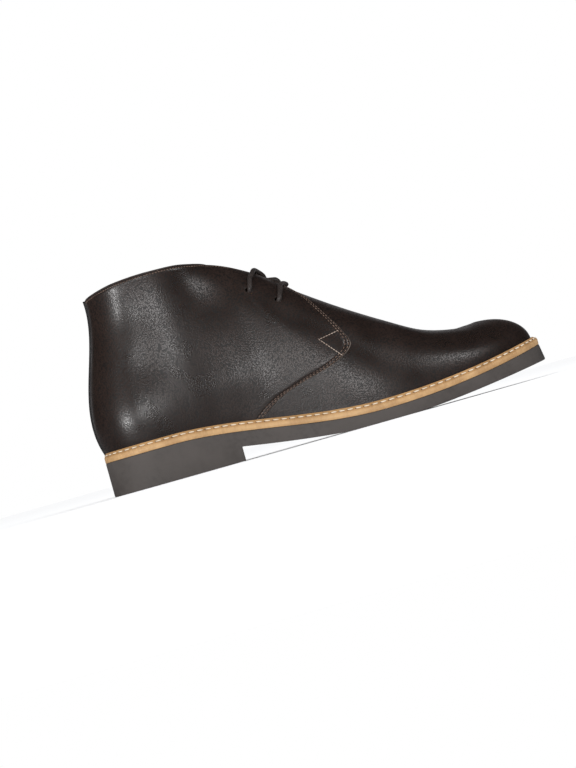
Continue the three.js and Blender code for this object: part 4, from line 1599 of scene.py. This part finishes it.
@dataclass
class Studio:
    """A plain pale floor, soft light and the camera at the photograph's angle.

    heel_px is the pixel where the heel's lowest back point shows, in a frame that leaves out
    the photograph's other boot. roll and elevation are the camera's angles in degrees, and
    px_per_metre is the photograph's scale.
    """

    last: Last
    width_px: int = 576
    height_px: int = 768
    px_per_metre: float = 1488.5
    heel_px: tuple = (115.65, 497.4)
    heel_back: float = -3.9 * MM
    near_side: float = -3 * MM
    roll: float = 15.8
    distance: float = 1.5
    elevation: float = -1.3
    floor_size: float = 60.0
    film_height: float = 36.0
    card_span: tuple = (0.80, 0.99)

    def build(self) -> None:
        """Places camera, lights, floor and world."""
        bpy.context.scene.view_settings.view_transform = "Standard"
        self.place_camera()
        self.place_floor()
        self.place_lights()

    def place_camera(self) -> None:
        """A long lens level with the floor, rolled as in the photograph."""
        roll, tilt = math.radians(self.roll), math.radians(self.elevation)
        look = Vector((0, math.cos(tilt), -math.sin(tilt)))
        level = Vector((1, 0, 0))
        rise = level.cross(look)
        right = level * math.cos(roll) - rise * math.sin(roll)
        up = level * math.sin(roll) + rise * math.cos(roll)
        heel = Vector((self.heel_back, self.near_side, 0)) + Vector(self.last.place)
        dx = (self.width_px / 2 - self.heel_px[0]) / self.px_per_metre
        dy = (self.heel_px[1] - self.height_px / 2) / self.px_per_metre
        aim = heel + right * dx + up * dy
        data = bpy.data.cameras.new("camera")
        data.sensor_fit = "VERTICAL"
        data.sensor_height = self.film_height
        data.lens = self.px_per_metre * data.sensor_height * self.distance / self.height_px
        camera = bpy.data.objects.new("camera", data)
        bpy.context.collection.objects.link(camera)
        turn = Matrix((right, up, -look)).transposed().to_4x4()
        camera.matrix_world = Matrix.Translation(aim - look * self.distance) @ turn
        bpy.context.scene.camera = camera

    def place_floor(self) -> None:
        """A wide pale floor, with painted shade where leather mirrors it."""
        deselect()
        bpy.ops.mesh.primitive_plane_add(size=self.floor_size)
        floor = named(bpy.context.object, "floor")
        material, n, shader = new_material("pale floor")
        mirrored = n.add("ShaderNodeLightPath").outputs["Is Glossy Ray"]
        # Leather mirrors the floor as near black: painted shade in the reflections, while the camera
        # sees it pale
        shade = n.mix(mirrored, (0.95, 0.955, 0.965, 1), (0.10, 0.10, 0.105, 1))
        n.fill(shader, {"Base Color": shade, "Roughness": 1.0, "Specular IOR Level": 0.0})
        floor.data.materials.append(material)

    def place_lights(self) -> None:
        """A pale surround that leather hardly mirrors, and soft lamps around the camera."""
        world = bpy.data.worlds.new("studio")
        bpy.context.scene.world = world
        world.use_nodes = True
        n = Nodes(world.node_tree)
        shade = world.node_tree.nodes["Background"]
        mirrored = n.add("ShaderNodeLightPath").outputs["Is Glossy Ray"]
        way = n.coordinate("Generated")
        behind = n.ramp(n.add("ShaderNodeSeparateXYZ", {0: way}).outputs[1], *self.card_span)
        card = n.mix(behind, (0.02, 0.02, 0.021, 1), (0.45, 0.45, 0.46, 1))
        colour = n.mix(mirrored, (1.0, 1.0, 1.0, 1), card)
        n.fill(shade, {"Color": colour, "Strength": 1.0})
        for lamp in LAMPS:
            lamp.hang()


def place_last() -> Last:
    """The last, moved so that its outline lies where the frame's midsole does."""
    last = Last()
    low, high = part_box("midsole")
    rim = last.outline(around(72), Sole.reach)
    middle = (rim.min(0) + rim.max(0)) / 2
    last.place = np.array([(low.x + high.x) / 2 - middle[0], (low.y + high.y) / 2 - middle[1], 0])
    return last


def main() -> None:
    """Builds the boot in order."""
    logging.basicConfig(level=logging.INFO, format="%(message)s")
    last = place_last()
    Studio(last).build()
    wardrobe = Wardrobe()
    Upper(last, wardrobe).build()
    Sole(last, wardrobe).build()
    Laces(last, wardrobe).build()


if __name__ == "__main__":
    main()
